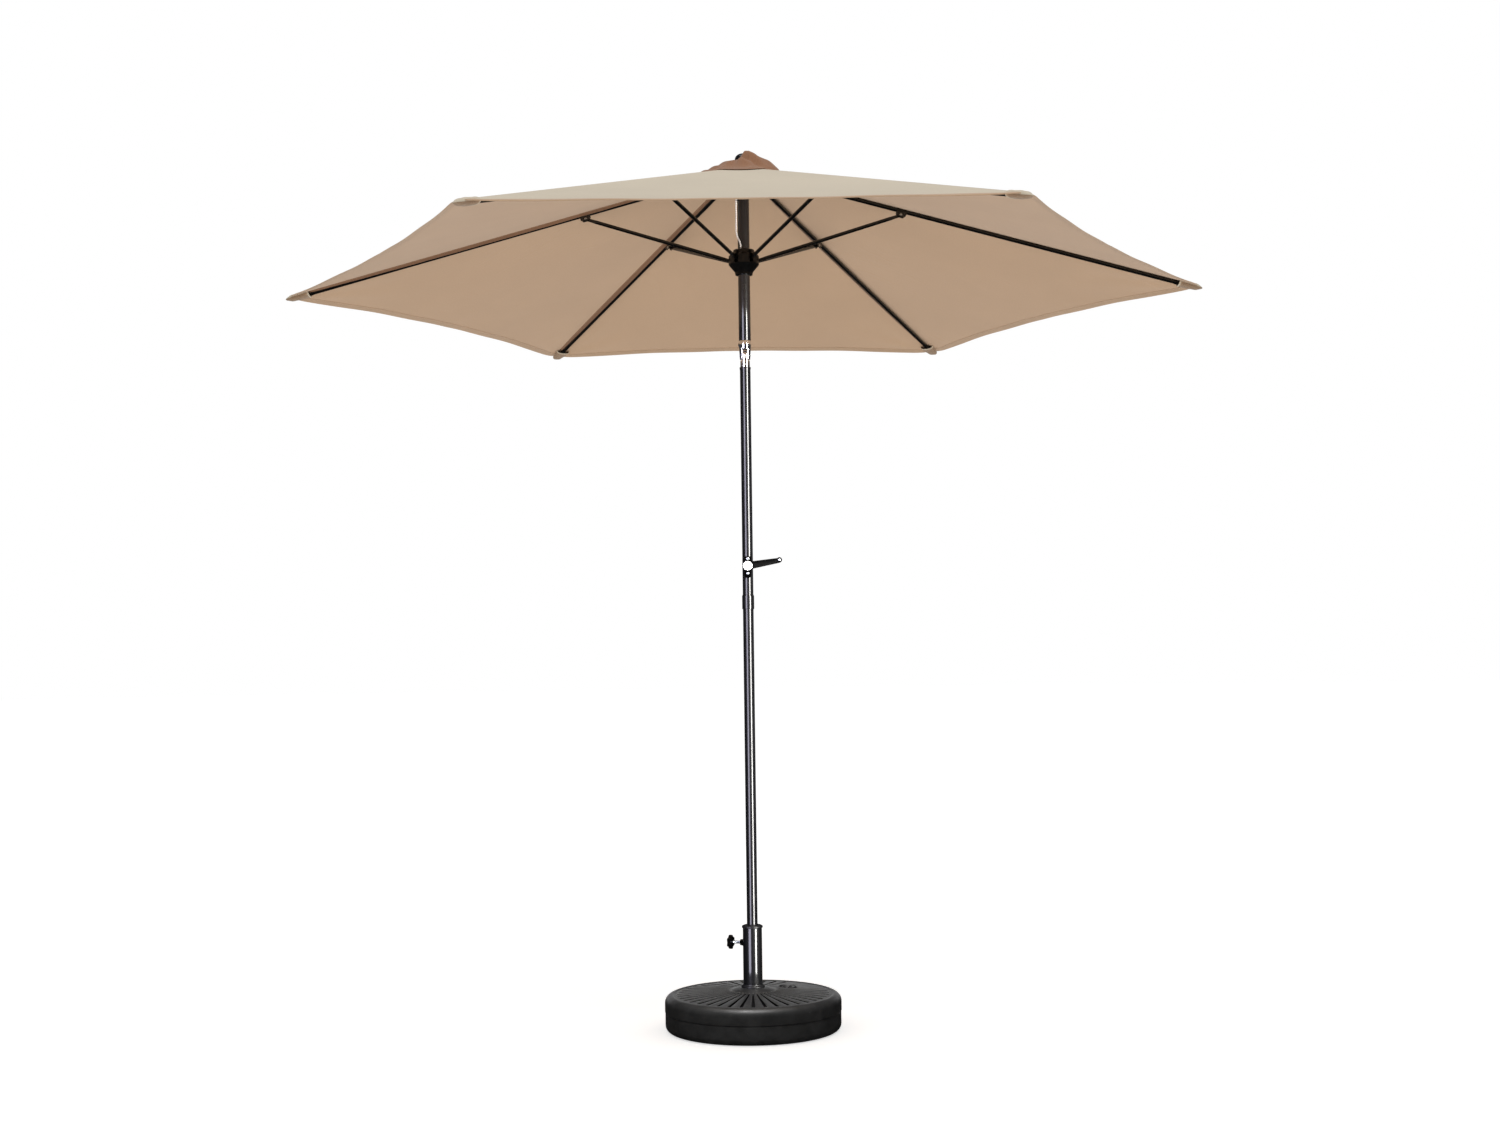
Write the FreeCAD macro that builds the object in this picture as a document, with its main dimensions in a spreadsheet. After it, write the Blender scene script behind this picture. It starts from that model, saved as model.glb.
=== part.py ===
import FreeCAD, Part
import math
import os
import re
import Sketcher

# A six-rib patio umbrella with a crank lift, a push-button tilt and a filled round base.
# Frame: origin at the centre of the base's underside, +Z up the pole, -Y the crank side.

V = FreeCAD.Vector
Turn = FreeCAD.Rotation
Z_AXIS = V(0, 0, 1)
RIBS = 6

SIZES = {
    # filled base
    "base_radius": 230, "base_wall": 3.5, "seam_height": 50, "side_height": 74,
    "shoulder_radius": 208, "shoulder_height": 92, "deck_radius": 100, "deck_height": 99,
    "boss_radius": 34, "boss_height": 110, "fill_height": 48, "seam_step": 1,
    "post_radius": 17.5, "bolt_floor": 14, "foot_chamfer": 13,
    "filler_reach": 115, "filler_turn": 37, "filler_recess": 23, "filler_hole": 15.2,
    "filler_floor": 94, "cap_flange": 19, "cap_skirt": 15,
    # stand tube and its lock
    "tube_radius": 25, "tube_wall": 1.8, "tube_top": 263, "tube_cap_top": 271,
    "lip_radius": 27.2, "foot_ring_radius": 30.5, "seat_floor": 54, "seat_low": 50, "seat_high": 90,
    "lock_height": 224, "lock_turn": 160, "screw_radius": 3.9, "nut_radius": 8, "nut_reach": 33,
    "knob_near": 53.5, "knob_far": 66.5, "knob_radius": 15.5, "lobe_radius": 4,
    # poles
    "pole_radius": 14, "pole_wall": 1.2, "running_gap": 0.1, "lower_pole_top": 1127,
    "sleeve_low": 1095, "sleeve_high": 1129, "sleeve_radius": 15.8, "middle_pole_top": 1736,
    "upper_radius": 16, "upper_wall": 1.4, "upper_low": 1806, "upper_high": 2245,
    # crank
    "crank_height": 1208, "shaft_radius": 4, "housing_half_width": 8.75, "housing_up": 25,
    "housing_down": 32, "housing_front": 19, "rivet_step": 19, "crank_reach": 84, "crank_rise": 9,
    "hub_disc_radius": 13.8, "arm_back": 23, "arm_front": 30, "drum_radius": 4.5, "wound_radius": 9,
    "cord_radius": 1.25, "grip_front": 60, "grip_radius": 6.8, "badge_radius": 12.3,
    # tilt joint
    "tilt_height": 1768, "tongue_radius": 12.3, "tongue_half": 5.5, "ear_near": 5.8, "ear_far": 13.6,
    "sleeve_base": 1784, "button_height": 1795, "button_radius": 4, "button_length": 6.5,
    "spring_pitch": 1.25, "spring_radius": 2.8, "spring_wire": 0.35,
    # rib hub, runner and linkage
    "pivot_radius": 30, "rib_pivot_height": 2256.5, "rib_slope": 15.4,
    "strut_slope": 17, "link_length": 406.8, "rib_length": 1177, "rib_tube": 5.5, "strut_tube": 5,
    "steel_wall": 1, "slot_half": 5.5, "blade_half": 2, "hub_radius": 40, "hub_top": 2275,
    "runner_radius": 41, "runner_low": 1982, "runner_high": 2049, "runner_throat": 23,
    # pulley and cord
    "pulley_height": 2190, "pulley_reach": 10.2, "pulley_turn": 205, "pulley_flange": 11.2,
    # cloth
    "cloth": 1, "cloth_lift": 6.7, "tip_radius": 1220, "top_hole": 48, "scallop": 45, "cloth_gap": 0.3,
    "vent_radius": 120, "vent_edge": 2254, "vent_top": 2288, "vent_hole": 9, "finial_top": 2309,
}

doc = FreeCAD.newDocument("PatioUmbrella")
sheet = doc.addObject("Spreadsheet::Sheet", "Sizes")
for row, (alias, number) in enumerate(SIZES.items(), 1):
    sheet.set(f"A{row}", alias)
    sheet.set(f"B{row}", str(number))
    sheet.setAlias(f"B{row}", alias)
doc.recompute()

parts = {}


def bound(text):
    """An expression on the sheet's aliases, with the sheet's name before each."""
    return re.sub(r"[a-z_]+", lambda m: "Sizes." + m[0] if m[0] in SIZES else m[0], str(text))


def value(text):
    """What an expression on the sheet's aliases comes to, in millimetres or degrees."""
    return float(sheet.evalExpression(bound(text)))


def bind(thing, **sizes):
    """Bind each property to its expression."""
    for name, text in sizes.items():
        thing.setExpression(name, bound(text))


def at(x=0, y=0, z=0, turn=Turn()):
    """A placement whose distances are expressions."""
    return FreeCAD.Placement(V(value(x), value(y), value(z)), turn)


def around(degrees):
    """A turn about the pole."""
    return FreeCAD.Placement(V(), Turn(Z_AXIS, degrees))


def finish(thing, label, place=None):
    """Give a sub-part its name, and move it from where it was drawn."""
    thing.Label = label
    if place:
        thing.Placement = place.multiply(thing.Placement)
    parts[label] = thing
    return thing


def turned(label, outline, place=None, keep=True):
    """A body turned about Z from an outline of (radius, height) expressions."""
    body = doc.addObject("PartDesign::Body", label)
    sketch = body.newObject("Sketcher::SketchObject", label + "_outline")
    planes = [f for f in body.Origin.OriginFeatures if f.Role == "XZ_Plane"]
    sketch.AttachmentSupport = [(planes[0], "")]
    sketch.MapMode = "FlatFace"
    points = [V(value(r), value(z), 0) for r, z in outline]
    count = len(points)
    for i, point in enumerate(points):
        sketch.addGeometry(Part.LineSegment(point, points[(i + 1) % count]), False)
    for i in range(count):
        sketch.addConstraint(Sketcher.Constraint("Coincident", i, 2, (i + 1) % count, 1))
    for i, (r, z) in enumerate(outline):
        for kind, text, now in (("DistanceX", r, points[i].x), ("DistanceY", z, points[i].y)):
            number = sketch.addConstraint(Sketcher.Constraint(kind, -1, 1, i, 1, now))
            sketch.setExpression(f"Constraints[{number}]", bound(text))
    turn = body.newObject("PartDesign::Revolution", label + "_turn")
    turn.Profile = sketch
    turn.ReferenceAxis = (sketch, ["V_Axis"])
    turn.Angle = 360
    if keep:
        return finish(body, label, place)
    if place:
        body.Placement = place
    return body


def rod(radius, length, place, name="rod"):
    """A cylinder from a place along its own Z."""
    thing = doc.addObject("Part::Cylinder", name)
    bind(thing, Radius=radius, Height=length)
    thing.Placement = place
    return thing


def block(low, high, name="block", place=None):
    """A box between two corners of expressions, drawn at the origin."""
    thing = doc.addObject("Part::Box", name)
    for side, a, b in zip(("Length", "Width", "Height"), low, high):
        bind(thing, **{side: f"({b}) - ({a})"})
    thing.Placement = (place or FreeCAD.Placement()).multiply(at(*low))
    return thing


def fuse(things, name="joined"):
    thing = doc.addObject("Part::MultiFuse", name)
    thing.Shapes = things
    return thing


def cut(base, tools, name="cut"):
    thing = doc.addObject("Part::Cut", name)
    thing.Base = base
    thing.Tool = tools[0] if len(tools) == 1 else fuse(tools)
    return thing


def group(things, name="group"):
    """Separate solids that share one node."""
    thing = doc.addObject("Part::Compound", name)
    thing.Links = things
    return thing


FORWARD = Turn(V(1, 0, 0), 90)  # local Z along -Y, out of the crank side
SIDEWAYS = Turn(V(0, 1, 0), 90)  # local Z along +X


# --- filled base -------------------------------------------------------------------------


def base():
    low_wall = "base_radius - seam_step"
    turned("base_bottom_shell", [
        (5, "bolt_floor"), ("post_radius - base_wall", "bolt_floor"),
        ("post_radius - base_wall", 0), (f"{low_wall} - foot_chamfer", 0), (low_wall, "foot_chamfer"),
        (low_wall, "seam_height"), (f"{low_wall} - base_wall", "seam_height"),
        (f"{low_wall} - base_wall", "foot_chamfer + 1"), (f"{low_wall} - foot_chamfer - 1", "base_wall"),
        ("post_radius", "base_wall"), ("post_radius", "bolt_floor + 4"), (5, "bolt_floor + 4"),
    ])
    skirt = f"{low_wall} - base_wall - 0.1"
    shell = turned("top_blank", [
        ("base_radius", "seam_height"), ("base_radius", "side_height"),
        ("base_radius - 4", "shoulder_height - 7"), ("base_radius - 12", "shoulder_height - 1.5"),
        ("shoulder_radius", "shoulder_height"), ("deck_radius", "deck_height"), (68, "deck_height + 2"),
        ("boss_radius", "boss_height"), ("tube_radius", "boss_height"), ("tube_radius", 80), (29, 80),
        (29, "boss_height - 5"), ("boss_radius", "boss_height - 5"), (68, "deck_height - 2"),
        ("deck_radius", "deck_height - base_wall"), ("shoulder_radius", "shoulder_height - base_wall"),
        ("base_radius - 14", "shoulder_height - 5"), ("base_radius - 7", "side_height + 6"),
        (f"{skirt} - base_wall", "side_height - 4"), (f"{skirt} - base_wall", "seam_height - 8"),
        (skirt, "seam_height - 8"), (skirt, "seam_height"),
    ], keep=False)
    filler = around(value("filler_turn")).multiply(at("filler_reach"))
    well = rod("filler_recess + 3", 12, filler.multiply(at(z="filler_floor - 10")), "well")
    recess = rod("filler_recess", 20, filler.multiply(at(z="filler_floor")), "recess")
    hole = rod("filler_hole", 40, filler.multiply(at(z="filler_floor - 20")), "hole")
    finish(cut(fuse([shell, well]), [recess, hole]), "base_top_shell")
    turned("sand_fill", [
        ("tube_radius", "base_wall"), (212, "base_wall"), (218, 12), (218, "fill_height"),
        ("tube_radius", "fill_height"),
    ])
    turned("filler_cap", [
        (0, "filler_floor + 0.1"), ("cap_skirt - 2", "filler_floor + 0.1"),
        ("cap_skirt - 2", "filler_floor - 9"), ("cap_skirt", "filler_floor - 9"),
        ("cap_skirt", "filler_floor + 0.1"), ("cap_flange", "filler_floor + 0.1"),
        ("cap_flange", "filler_floor + 2.5"), ("cap_flange - 2", "filler_floor + 4"),
        (0, "filler_floor + 4"),
    ], filler)


# --- stand tube, seat, collar and lock ---------------------------------------------------


def stand_tube():
    inner = "tube_radius - tube_wall"
    tube = turned("tube_blank", [
        (inner, "bolt_floor + 4"), ("tube_radius", "bolt_floor + 4"), ("tube_radius", "tube_top"),
        (inner, "tube_top"),
    ], keep=False)
    lock = around(value("lock_turn")).multiply(at(z="lock_height", turn=SIDEWAYS))
    screw_way = rod("screw_radius + 0.1", "tube_radius + 20", lock, "screw_way")
    finish(cut(tube, [screw_way]), "stand_tube")
    turned("tube_foot", [
        ("tube_radius", "boss_height"), ("foot_ring_radius", "boss_height"),
        ("foot_ring_radius", "boss_height + 3"), ("tube_radius + 1.5", "boss_height + 8"),
        ("tube_radius", "boss_height + 8"),
    ])
    turned("tube_plug", [
        (4, "bolt_floor + 4"), (inner, "bolt_floor + 4"), (inner, "bolt_floor + 12"),
        (4, "bolt_floor + 12"),
    ])
    turned("anchor_bolt", [
        (0, "bolt_floor - 8"), (6.5, "bolt_floor - 8"), (6.5, "bolt_floor - 1.5"),
        (12, "bolt_floor - 1.5"), (12, "bolt_floor"), (4, "bolt_floor"), (4, "bolt_floor + 18"),
        (0, "bolt_floor + 18"),
    ])
    bore = "pole_radius + running_gap"
    turned("mast_seat", [
        (0, "seat_low"), (inner, "seat_low"), (inner, "seat_high"), (f"{bore} + 3", "seat_high"),
        (bore, "seat_high - 3"), (bore, "seat_floor"), (0, "seat_floor"),
    ])
    turned("tube_collar", [
        (bore, "tube_top - 24"), (inner, "tube_top - 24"), (inner, "tube_top"),
        ("lip_radius", "tube_top"), ("lip_radius", "tube_cap_top - 2"),
        ("lip_radius - 3", "tube_cap_top"), (bore, "tube_cap_top"),
    ])
    nut = rod("nut_radius", "nut_reach", lock, "nut_blank")
    core = rod("tube_radius", 60, at(z="lock_height - 30"), "tube_core")
    bore_way = rod("screw_radius + 0.1", 60, lock, "nut_bore")
    finish(cut(nut, [core, bore_way]), "lock_nut")

    pad_near = "pole_radius + 0.3"
    finish(rod(5, 3, lock.multiply(at(z=pad_near)), "lock_pad"), "lock_pad")
    finish(rod("screw_radius", f"knob_near + 6 - ({pad_near}) - 3", lock.multiply(at(z=f"{pad_near} + 3")),
               "lock_screw"), "lock_screw")
    disc = rod("knob_radius", "knob_far - knob_near", lock.multiply(at(z="knob_near")), "knob_disc")
    lobes = []
    for k in range(6):
        around_knob = FreeCAD.Placement(V(), Turn(Z_AXIS, 60 * k))
        place = lock.multiply(around_knob).multiply(at("knob_radius - 1", 0, "knob_near"))
        lobes.append(rod("lobe_radius", "knob_far - knob_near", place, "lobe"))
    socket = rod("screw_radius", 6, lock.multiply(at(z="knob_near")), "knob_socket")
    finish(cut(fuse([disc] + lobes), [socket]), "lock_knob")


# --- poles -------------------------------------------------------------------------------


def poles():
    inner = "pole_radius - pole_wall"
    foot = "seat_floor + running_gap"
    turned("pole_end_plug", [
        (0, foot), ("pole_radius", foot), ("pole_radius", "seat_floor + 4"), (inner, "seat_floor + 4"),
        (inner, "seat_floor + 20"), (0, "seat_floor + 20"),
    ])
    turned("lower_pole", [
        (inner, "seat_floor + 4"), ("pole_radius", "seat_floor + 4"), ("pole_radius", "lower_pole_top"),
        (inner, "lower_pole_top"),
    ])
    middle = turned("middle_blank", [
        ("pole_radius", "sleeve_low"), ("sleeve_radius", "sleeve_low"), ("sleeve_radius", "sleeve_high"),
        ("pole_radius", "sleeve_high + 5"), ("pole_radius", "middle_pole_top - 5"),
        ("pole_radius + 0.5", "middle_pole_top - 4"), ("pole_radius + 0.5", "middle_pole_top - 1"),
        ("pole_radius", "middle_pole_top"), (inner, "middle_pole_top"), (inner, "sleeve_high + 5"),
        ("pole_radius", "sleeve_high"),
    ], keep=False)
    crank_axis = at(z="crank_height", turn=FORWARD)
    front = rod(11, 30, crank_axis, "crank_window")
    back = rod("shaft_radius + 0.1", 40, at(y=20, z="crank_height", turn=FORWARD), "shaft_hole")
    holes = [front, back]
    for side in (1, -1):
        holes.append(rod(2, 30, at(z=f"crank_height + {side} * rivet_step", turn=FORWARD), "rivet_hole"))
    finish(cut(middle, holes), "middle_pole")
    upper = turned("upper_blank", [
        ("upper_radius - upper_wall", "upper_low"), ("upper_radius", "upper_low"),
        ("upper_radius", "upper_high"), ("upper_radius - upper_wall", "upper_high"),
    ], keep=False)
    slot = block((4, -4, "pulley_height - 15"), (30, 4, "pulley_height + 16"), "pulley_slot",
                 around(value("pulley_turn")))
    pin_way = rod(2, 40, pulley_axis().multiply(at(z=-20)), "pin_way")
    finish(cut(upper, [slot, pin_way]), "upper_pole")


# --- crank -------------------------------------------------------------------------------


def crank():
    axis = at(z="crank_height", turn=FORWARD)
    plate = block(("-housing_half_width", "-housing_front", "crank_height - housing_down + 6"),
                  ("housing_half_width", "-6", "crank_height + housing_up"), "plate")
    toe = rod("housing_half_width", "housing_front - 6",
              at(y=-6, z="crank_height - housing_down + housing_half_width", turn=FORWARD), "toe")
    boss = rod("hub_disc_radius", "housing_front + 2", axis, "boss")
    core = rod("pole_radius", 90, at(z="crank_height - 45"), "pole_core")
    shaft_way = rod("shaft_radius + 0.05", 60, axis, "shaft_way")
    rivet_ways = []
    rivets = []
    for side in (1, -1):
        place = at(y="-pole_radius + pole_wall", z=f"crank_height + {side} * rivet_step", turn=FORWARD)
        rivet_ways.append(rod(2, 20, place, "rivet_way"))
        shank = rod(2, "housing_front - pole_radius + pole_wall", place, "rivet_shank")
        head = rod(3.4, 1.5, place.multiply(at(z="housing_front - pole_radius + pole_wall")), "rivet_head")
        rivets.append(fuse([shank, head]))
    finish(cut(fuse([plate, toe, boss]), [core, shaft_way] + rivet_ways), "crank_housing")
    finish(group(rivets), "housing_rivets")

    finish(rod("shaft_radius", "arm_front + 13", at(y=13, z="crank_height", turn=FORWARD), "shaft"),
           "crank_shaft")
    turned("cord_spool", [
        ("shaft_radius", -6.5), (10.5, -6.5), (10.5, -5), ("drum_radius + 0.5", -5),
        ("drum_radius + 0.5", 5), (10.5, 5), (10.5, 6.5), ("shaft_radius", 6.5),
    ], axis)
    turned("wound_cord", [
        ("drum_radius + 0.5", -5), ("wound_radius", -5), ("wound_radius", 5), ("drum_radius + 0.5", 5),
    ], axis)
    arm_way = axis.multiply(FreeCAD.Placement(V(), Turn(Z_AXIS, value("crank_rise"))))
    hub = rod("hub_disc_radius", "arm_front - housing_front - 2.2",
              arm_way.multiply(at(z="housing_front + 2.2")), "crank_disc")
    bore = rod("shaft_radius", 60, arm_way, "crank_bore")
    end = rod(6.5, "arm_front - arm_back", arm_way.multiply(at("crank_reach", 0, "arm_back")), "arm_end")
    lever = doc.addObject("Part::Wedge", "lever")
    bind(lever, Xmin="-10.3", Xmax="10.3", X2min="-6", X2max="6", Ymin="0", Ymax="crank_reach",
         Zmin="0", Zmax="arm_front - arm_back", Z2min="0", Z2max="arm_front - arm_back")
    lever.Placement = arm_way.multiply(at(0, 0, "arm_back", Turn(Z_AXIS, -90)))
    pin_hole = rod(2, 60, arm_way.multiply(at("crank_reach")), "pin_hole")
    finish(cut(fuse([hub, end, lever]), [bore, pin_hole]), "crank_arm")
    turned("crank_badge", [
        (0, "arm_front"), ("badge_radius", "arm_front"), ("badge_radius", "arm_front + 0.8"),
        ("badge_radius - 1", "arm_front + 1.4"), (0, "arm_front + 1.4"),
    ], arm_way)
    grip_way = arm_way.multiply(at("crank_reach"))
    turned("grip_pin", [
        (0, "arm_back"), (2, "arm_back"), (2, "grip_front"), (3.2, "grip_front"),
        (3.2, "grip_front + 1.2"), (0, "grip_front + 1.2"),
    ], grip_way)
    turned("crank_grip", [
        (2.1, "arm_front + 0.2"), (5, "arm_front + 0.2"), (5.6, "arm_front + 8"),
        ("grip_radius", "grip_front - 9"), ("grip_radius", "grip_front - 3"), (5, "grip_front - 0.1"),
        (2.1, "grip_front - 0.1"),
    ], grip_way)


# --- tilt joint --------------------------------------------------------------------------


def tilt_joint():
    inner = "pole_radius - pole_wall"
    plug = turned("knuckle_blank", [
        (0, "middle_pole_top - 30"), (inner, "middle_pole_top - 30"), (inner, "middle_pole_top"),
        ("tongue_radius + 0.2", "middle_pole_top"), ("tongue_radius + 0.2", "middle_pole_top + 16"),
        (0, "middle_pole_top + 16"),
    ], keep=False)
    tongue = block(("-tongue_half", "-tongue_radius", "middle_pole_top + 14"),
                   ("tongue_half", "tongue_radius", "tilt_height"), "tongue")
    across = at(x="-tongue_half", z="tilt_height", turn=SIDEWAYS)
    crown = rod("tongue_radius", "2 * tongue_half", across, "tongue_crown")
    cord_way = rod(3, 400, at(z=1600), "cord_way")
    pin_way = rod(3.05, 40, at(x=-20, z="tilt_height", turn=SIDEWAYS), "pin_way")
    finish(cut(fuse([plug, tongue, crown]), [cord_way, pin_way]), "tilt_knuckle")

    collar = turned("collar_blank", [
        (0, "sleeve_base"), ("upper_radius", "sleeve_base"), ("upper_radius", "upper_low"),
        ("upper_radius - upper_wall", "upper_low"), ("upper_radius - upper_wall", "upper_low + 30"),
        (0, "upper_low + 30"),
    ], keep=False)
    solids = [collar]
    pins = []
    for low, high in (("-ear_far", "-ear_near"), ("ear_near", "ear_far")):
        solids.append(block((low, "-tongue_radius", "tilt_height"),
                            (high, "tongue_radius", "sleeve_base + 2"),
                            "ear"))
        solids.append(rod("tongue_radius", "ear_far - ear_near",
                          at(x=low, z="tilt_height", turn=SIDEWAYS), "ear_round"))
    for start in ("-ear_far", "3.5"):
        pins.append(rod(3, "ear_far - 3.5", at(x=start, z="tilt_height", turn=SIDEWAYS), "pin"))
    envelope = turned("taper", [
        (0, "tilt_height - 14"), (13.2, "tilt_height - 14"), ("upper_radius", "sleeve_base + 4"),
        ("upper_radius", "upper_low + 30"), (0, "upper_low + 30"),
    ], keep=False)
    shape = doc.addObject("Part::Common", "tapered")
    shape.Base = fuse(solids)
    shape.Tool = envelope
    cord_way = rod(3, 400, at(z=1600), "cord_way")
    ear_way = rod(3, 40, at(x=-20, z="tilt_height", turn=SIDEWAYS), "ear_way")
    button_way = rod("button_radius + 0.1", 16, at(x=-20, z="button_height", turn=SIDEWAYS), "button_way")
    finish(cut(shape, [cord_way, ear_way, button_way]), "tilt_sleeve")
    finish(group(pins), "tilt_pins")
    place = at(x=-15.7, z="button_height", turn=SIDEWAYS)
    finish(rod("button_radius", "button_length", place, "button"), "tilt_button")
    turns = Part.makeHelix(value("spring_pitch"), value("spring_pitch * 3"), value("spring_radius"))
    start = V(value("spring_radius"), 0, 0)
    line = turns.Edges[0]
    section = Part.Circle(start, line.tangentAt(line.FirstParameter), value("spring_wire"))
    spring = doc.addObject("Part::Feature", "tilt_spring")
    spring.Shape = Part.Wire(turns.Edges).makePipeShell([Part.Wire(section.toShape())], True, True)
    finish(spring, "tilt_spring", at(x=-8.5, z="button_height", turn=SIDEWAYS))


# --- rib hub, finial, pulley -------------------------------------------------------------


def slots(low, high):
    """Six radial slots, one under each rib, as cutting blocks."""
    return [block((22, "-slot_half", low), (60, "slot_half", high), "slot", around(60 * k))
            for k in range(RIBS)]


def ring(radius, height, name):
    thing = doc.addObject("Part::Torus", name)
    bind(thing, Radius1="pivot_radius", Radius2=radius)
    thing.Placement = at(z=height)
    return thing


def hub():
    bore = "upper_radius"
    blank = turned("hub_blank", [
        (bore, "rib_pivot_height - 16"), (24, "rib_pivot_height - 16"),
        ("hub_radius - 3", "rib_pivot_height - 9"),
        ("hub_radius", "rib_pivot_height - 4"), ("hub_radius", "hub_top - 3"), ("hub_radius - 3", "hub_top"),
        (0, "hub_top"), (0, "upper_high"), (bore, "upper_high"),
    ], keep=False)
    groove = ring(1.1, "rib_pivot_height", "wire_groove")
    finish(cut(blank, slots("rib_pivot_height - 30", "hub_top - 6") + [groove]), "top_hub")
    finish(ring(1, "rib_pivot_height", "wire"), "hub_wire")
    turned("finial", [
        (0, "hub_top"), ("vent_hole - 0.5", "hub_top"), ("vent_hole - 0.5", "vent_top + 0.2"),
        (19, "vent_top + 0.2"), (21, "vent_top + 4"), (20, "vent_top + 10"), (15.5, "vent_top + 15.5"),
        (9, "vent_top + 19"), (0, "finial_top"),
    ])
    turned("pulley", [
        (2.05, -3.4), ("pulley_flange", -3.4), ("pulley_flange", -2.4), ("pulley_reach - cord_radius", -1.2),
        ("pulley_reach - cord_radius", 1.2), ("pulley_flange", 2.4), ("pulley_flange", 3.4), (2.05, 3.4),
    ], pulley_axis())
    finish(rod(2, 25, pulley_axis().multiply(at(z=-12.5)), "pulley_pin"), "pulley_pin")


def pulley_axis():
    """The pulley's own place: local Z lies across the pole, local X points up."""
    return around(value("pulley_turn")).multiply(
        at("pulley_reach", 0, "pulley_height", Turn(V(1, 0, 0), 90)))


# --- lift cord ---------------------------------------------------------------------------


def swept(label, edges, start):
    """A round cord along a chain of straight runs and tangent arcs."""
    path = Part.Wire(edges)
    circle = Part.Circle(V(start), V(edges[0].tangentAt(edges[0].FirstParameter)), value("cord_radius"))
    cord = doc.addObject("Part::Feature", label)
    cord.Shape = path.makePipeShell([Part.Wire(circle.toShape())], True, True)
    wanted = math.pi * value("cord_radius") ** 2 * path.Length
    print(label, "volume against section times length", round(cord.Shape.Volume / wanted, 4))
    return finish(cord, label)


def rounded_path(points, radii):
    """Straight runs through the points, with a tangent arc of the given radius at each inner one."""
    edges = []
    last = points[0]
    for i, radius in enumerate(radii, 1):
        corner = points[i]
        back = (points[i - 1] - corner).normalize()
        ahead = (points[i + 1] - corner).normalize()
        half = back.getAngle(ahead) / 2
        reach = radius / math.tan(half)
        middle = corner + (back + ahead).normalize() * (radius / math.sin(half) - radius)
        start, end = corner + back * reach, corner + ahead * reach
        edges += [Part.LineSegment(last, start).toShape(), Part.Arc(start, middle, end).toShape()]
        last = end
    return edges + [Part.LineSegment(last, points[-1]).toShape()]


def lift_cord():
    low = V(value("wound_radius + cord_radius + 0.1"), 0, value("crank_height"))
    high = V(0, 0, value("tilt_height + tongue_radius - 0.5"))
    lower = rod("cord_radius", (high - low).Length, FreeCAD.Placement(low, Turn(Z_AXIS, high - low)))
    finish(lower, "lift_cord_lower")
    place = around(value("pulley_turn"))
    top = value("pulley_height")
    reach = value("pulley_reach")
    foot = V(0, 0, value("sleeve_base"))
    over = [V(0, 0, top), V(reach, 0, top + reach), V(2 * reach, 0, top)]
    over = [place.multVec(p) for p in over]
    swept("lift_cord_upper", [Part.LineSegment(foot, over[0]).toShape(), Part.Arc(*over).toShape()], foot)
    anchor = around(250).multVec(V(21.6, 0, value("runner_high") + 0.8))
    knee = V(over[2].x, over[2].y, value("runner_high") + 42)
    fall = [over[2], knee, anchor]
    swept("lift_cord_fall", rounded_path(fall, [40]), over[2])


# --- runner, ribs and struts -------------------------------------------------------------


def runner():
    bore = "upper_radius + 0.3"
    blank = turned("runner_blank", [
        (bore, "runner_low"), ("runner_throat", "runner_low"), ("runner_throat + 1", "runner_low + 7"),
        (32, "runner_low + 18"), ("runner_radius", "runner_low + 28"), ("runner_radius", "runner_low + 50"),
        ("runner_radius - 4", "runner_low + 54"), (30, "runner_high"), (bore, "runner_high"),
    ], keep=False)
    finish(cut(blank, slots("runner_low - 5", "runner_high + 5")), "runner")


def rib(number):
    azimuth = around(60 * (number - 1))
    place = azimuth.multiply(at("pivot_radius", 0, "rib_pivot_height",
                                Turn(V(0, 1, 0), value("rib_slope"))))
    along = at(24, turn=SIDEWAYS)
    skin = rod("rib_tube", "rib_length - 24", along, "rib_skin")
    core = rod("rib_tube - steel_wall", "rib_length", along, "rib_core")
    blade = block((-5, "-blade_half", -4.5), (30, "blade_half", 4.5), "rib_blade")
    eye = rod(1.7, 20, at(y=10, turn=FORWARD), "rib_eye")
    tube = cut(fuse([cut(skin, [core]), blade]), [eye], "rib_tube_piece")

    reach = math.cos(math.radians(value("strut_slope - rib_slope"))) * value("link_length")
    drop = math.sin(math.radians(value("strut_slope - rib_slope"))) * value("link_length")
    clip = block((reach - 14, -7.5, -drop - 5), (reach + 14, 7.5, 2), "clip")
    gap = block((reach - 30, "-slot_half", -drop - 9), (reach + 30, "slot_half", "-rib_tube"), "clip_gap")
    bore = rod("rib_tube", 60, at(reach - 30, turn=SIDEWAYS), "clip_bore")
    rivet_way = rod(1.75, 40, at(reach, 20, -drop, FORWARD), "rivet_way")
    bracket = cut(clip, [gap, bore, rivet_way], "bracket")
    rivet = rod(1.75, 16.5, at(reach, 8.25, -drop, FORWARD), "rivet")
    cap = rod("rib_tube + 0.6", 26, at("rib_length - 22", turn=SIDEWAYS), "end_cap")
    socket = rod("rib_tube", 22, at("rib_length - 22", turn=SIDEWAYS), "end_socket")
    fitted = cut(cap, [socket], "end_cap_piece")
    finish(group([tube, bracket, rivet, fitted]), f"rib_{number}", place)


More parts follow.
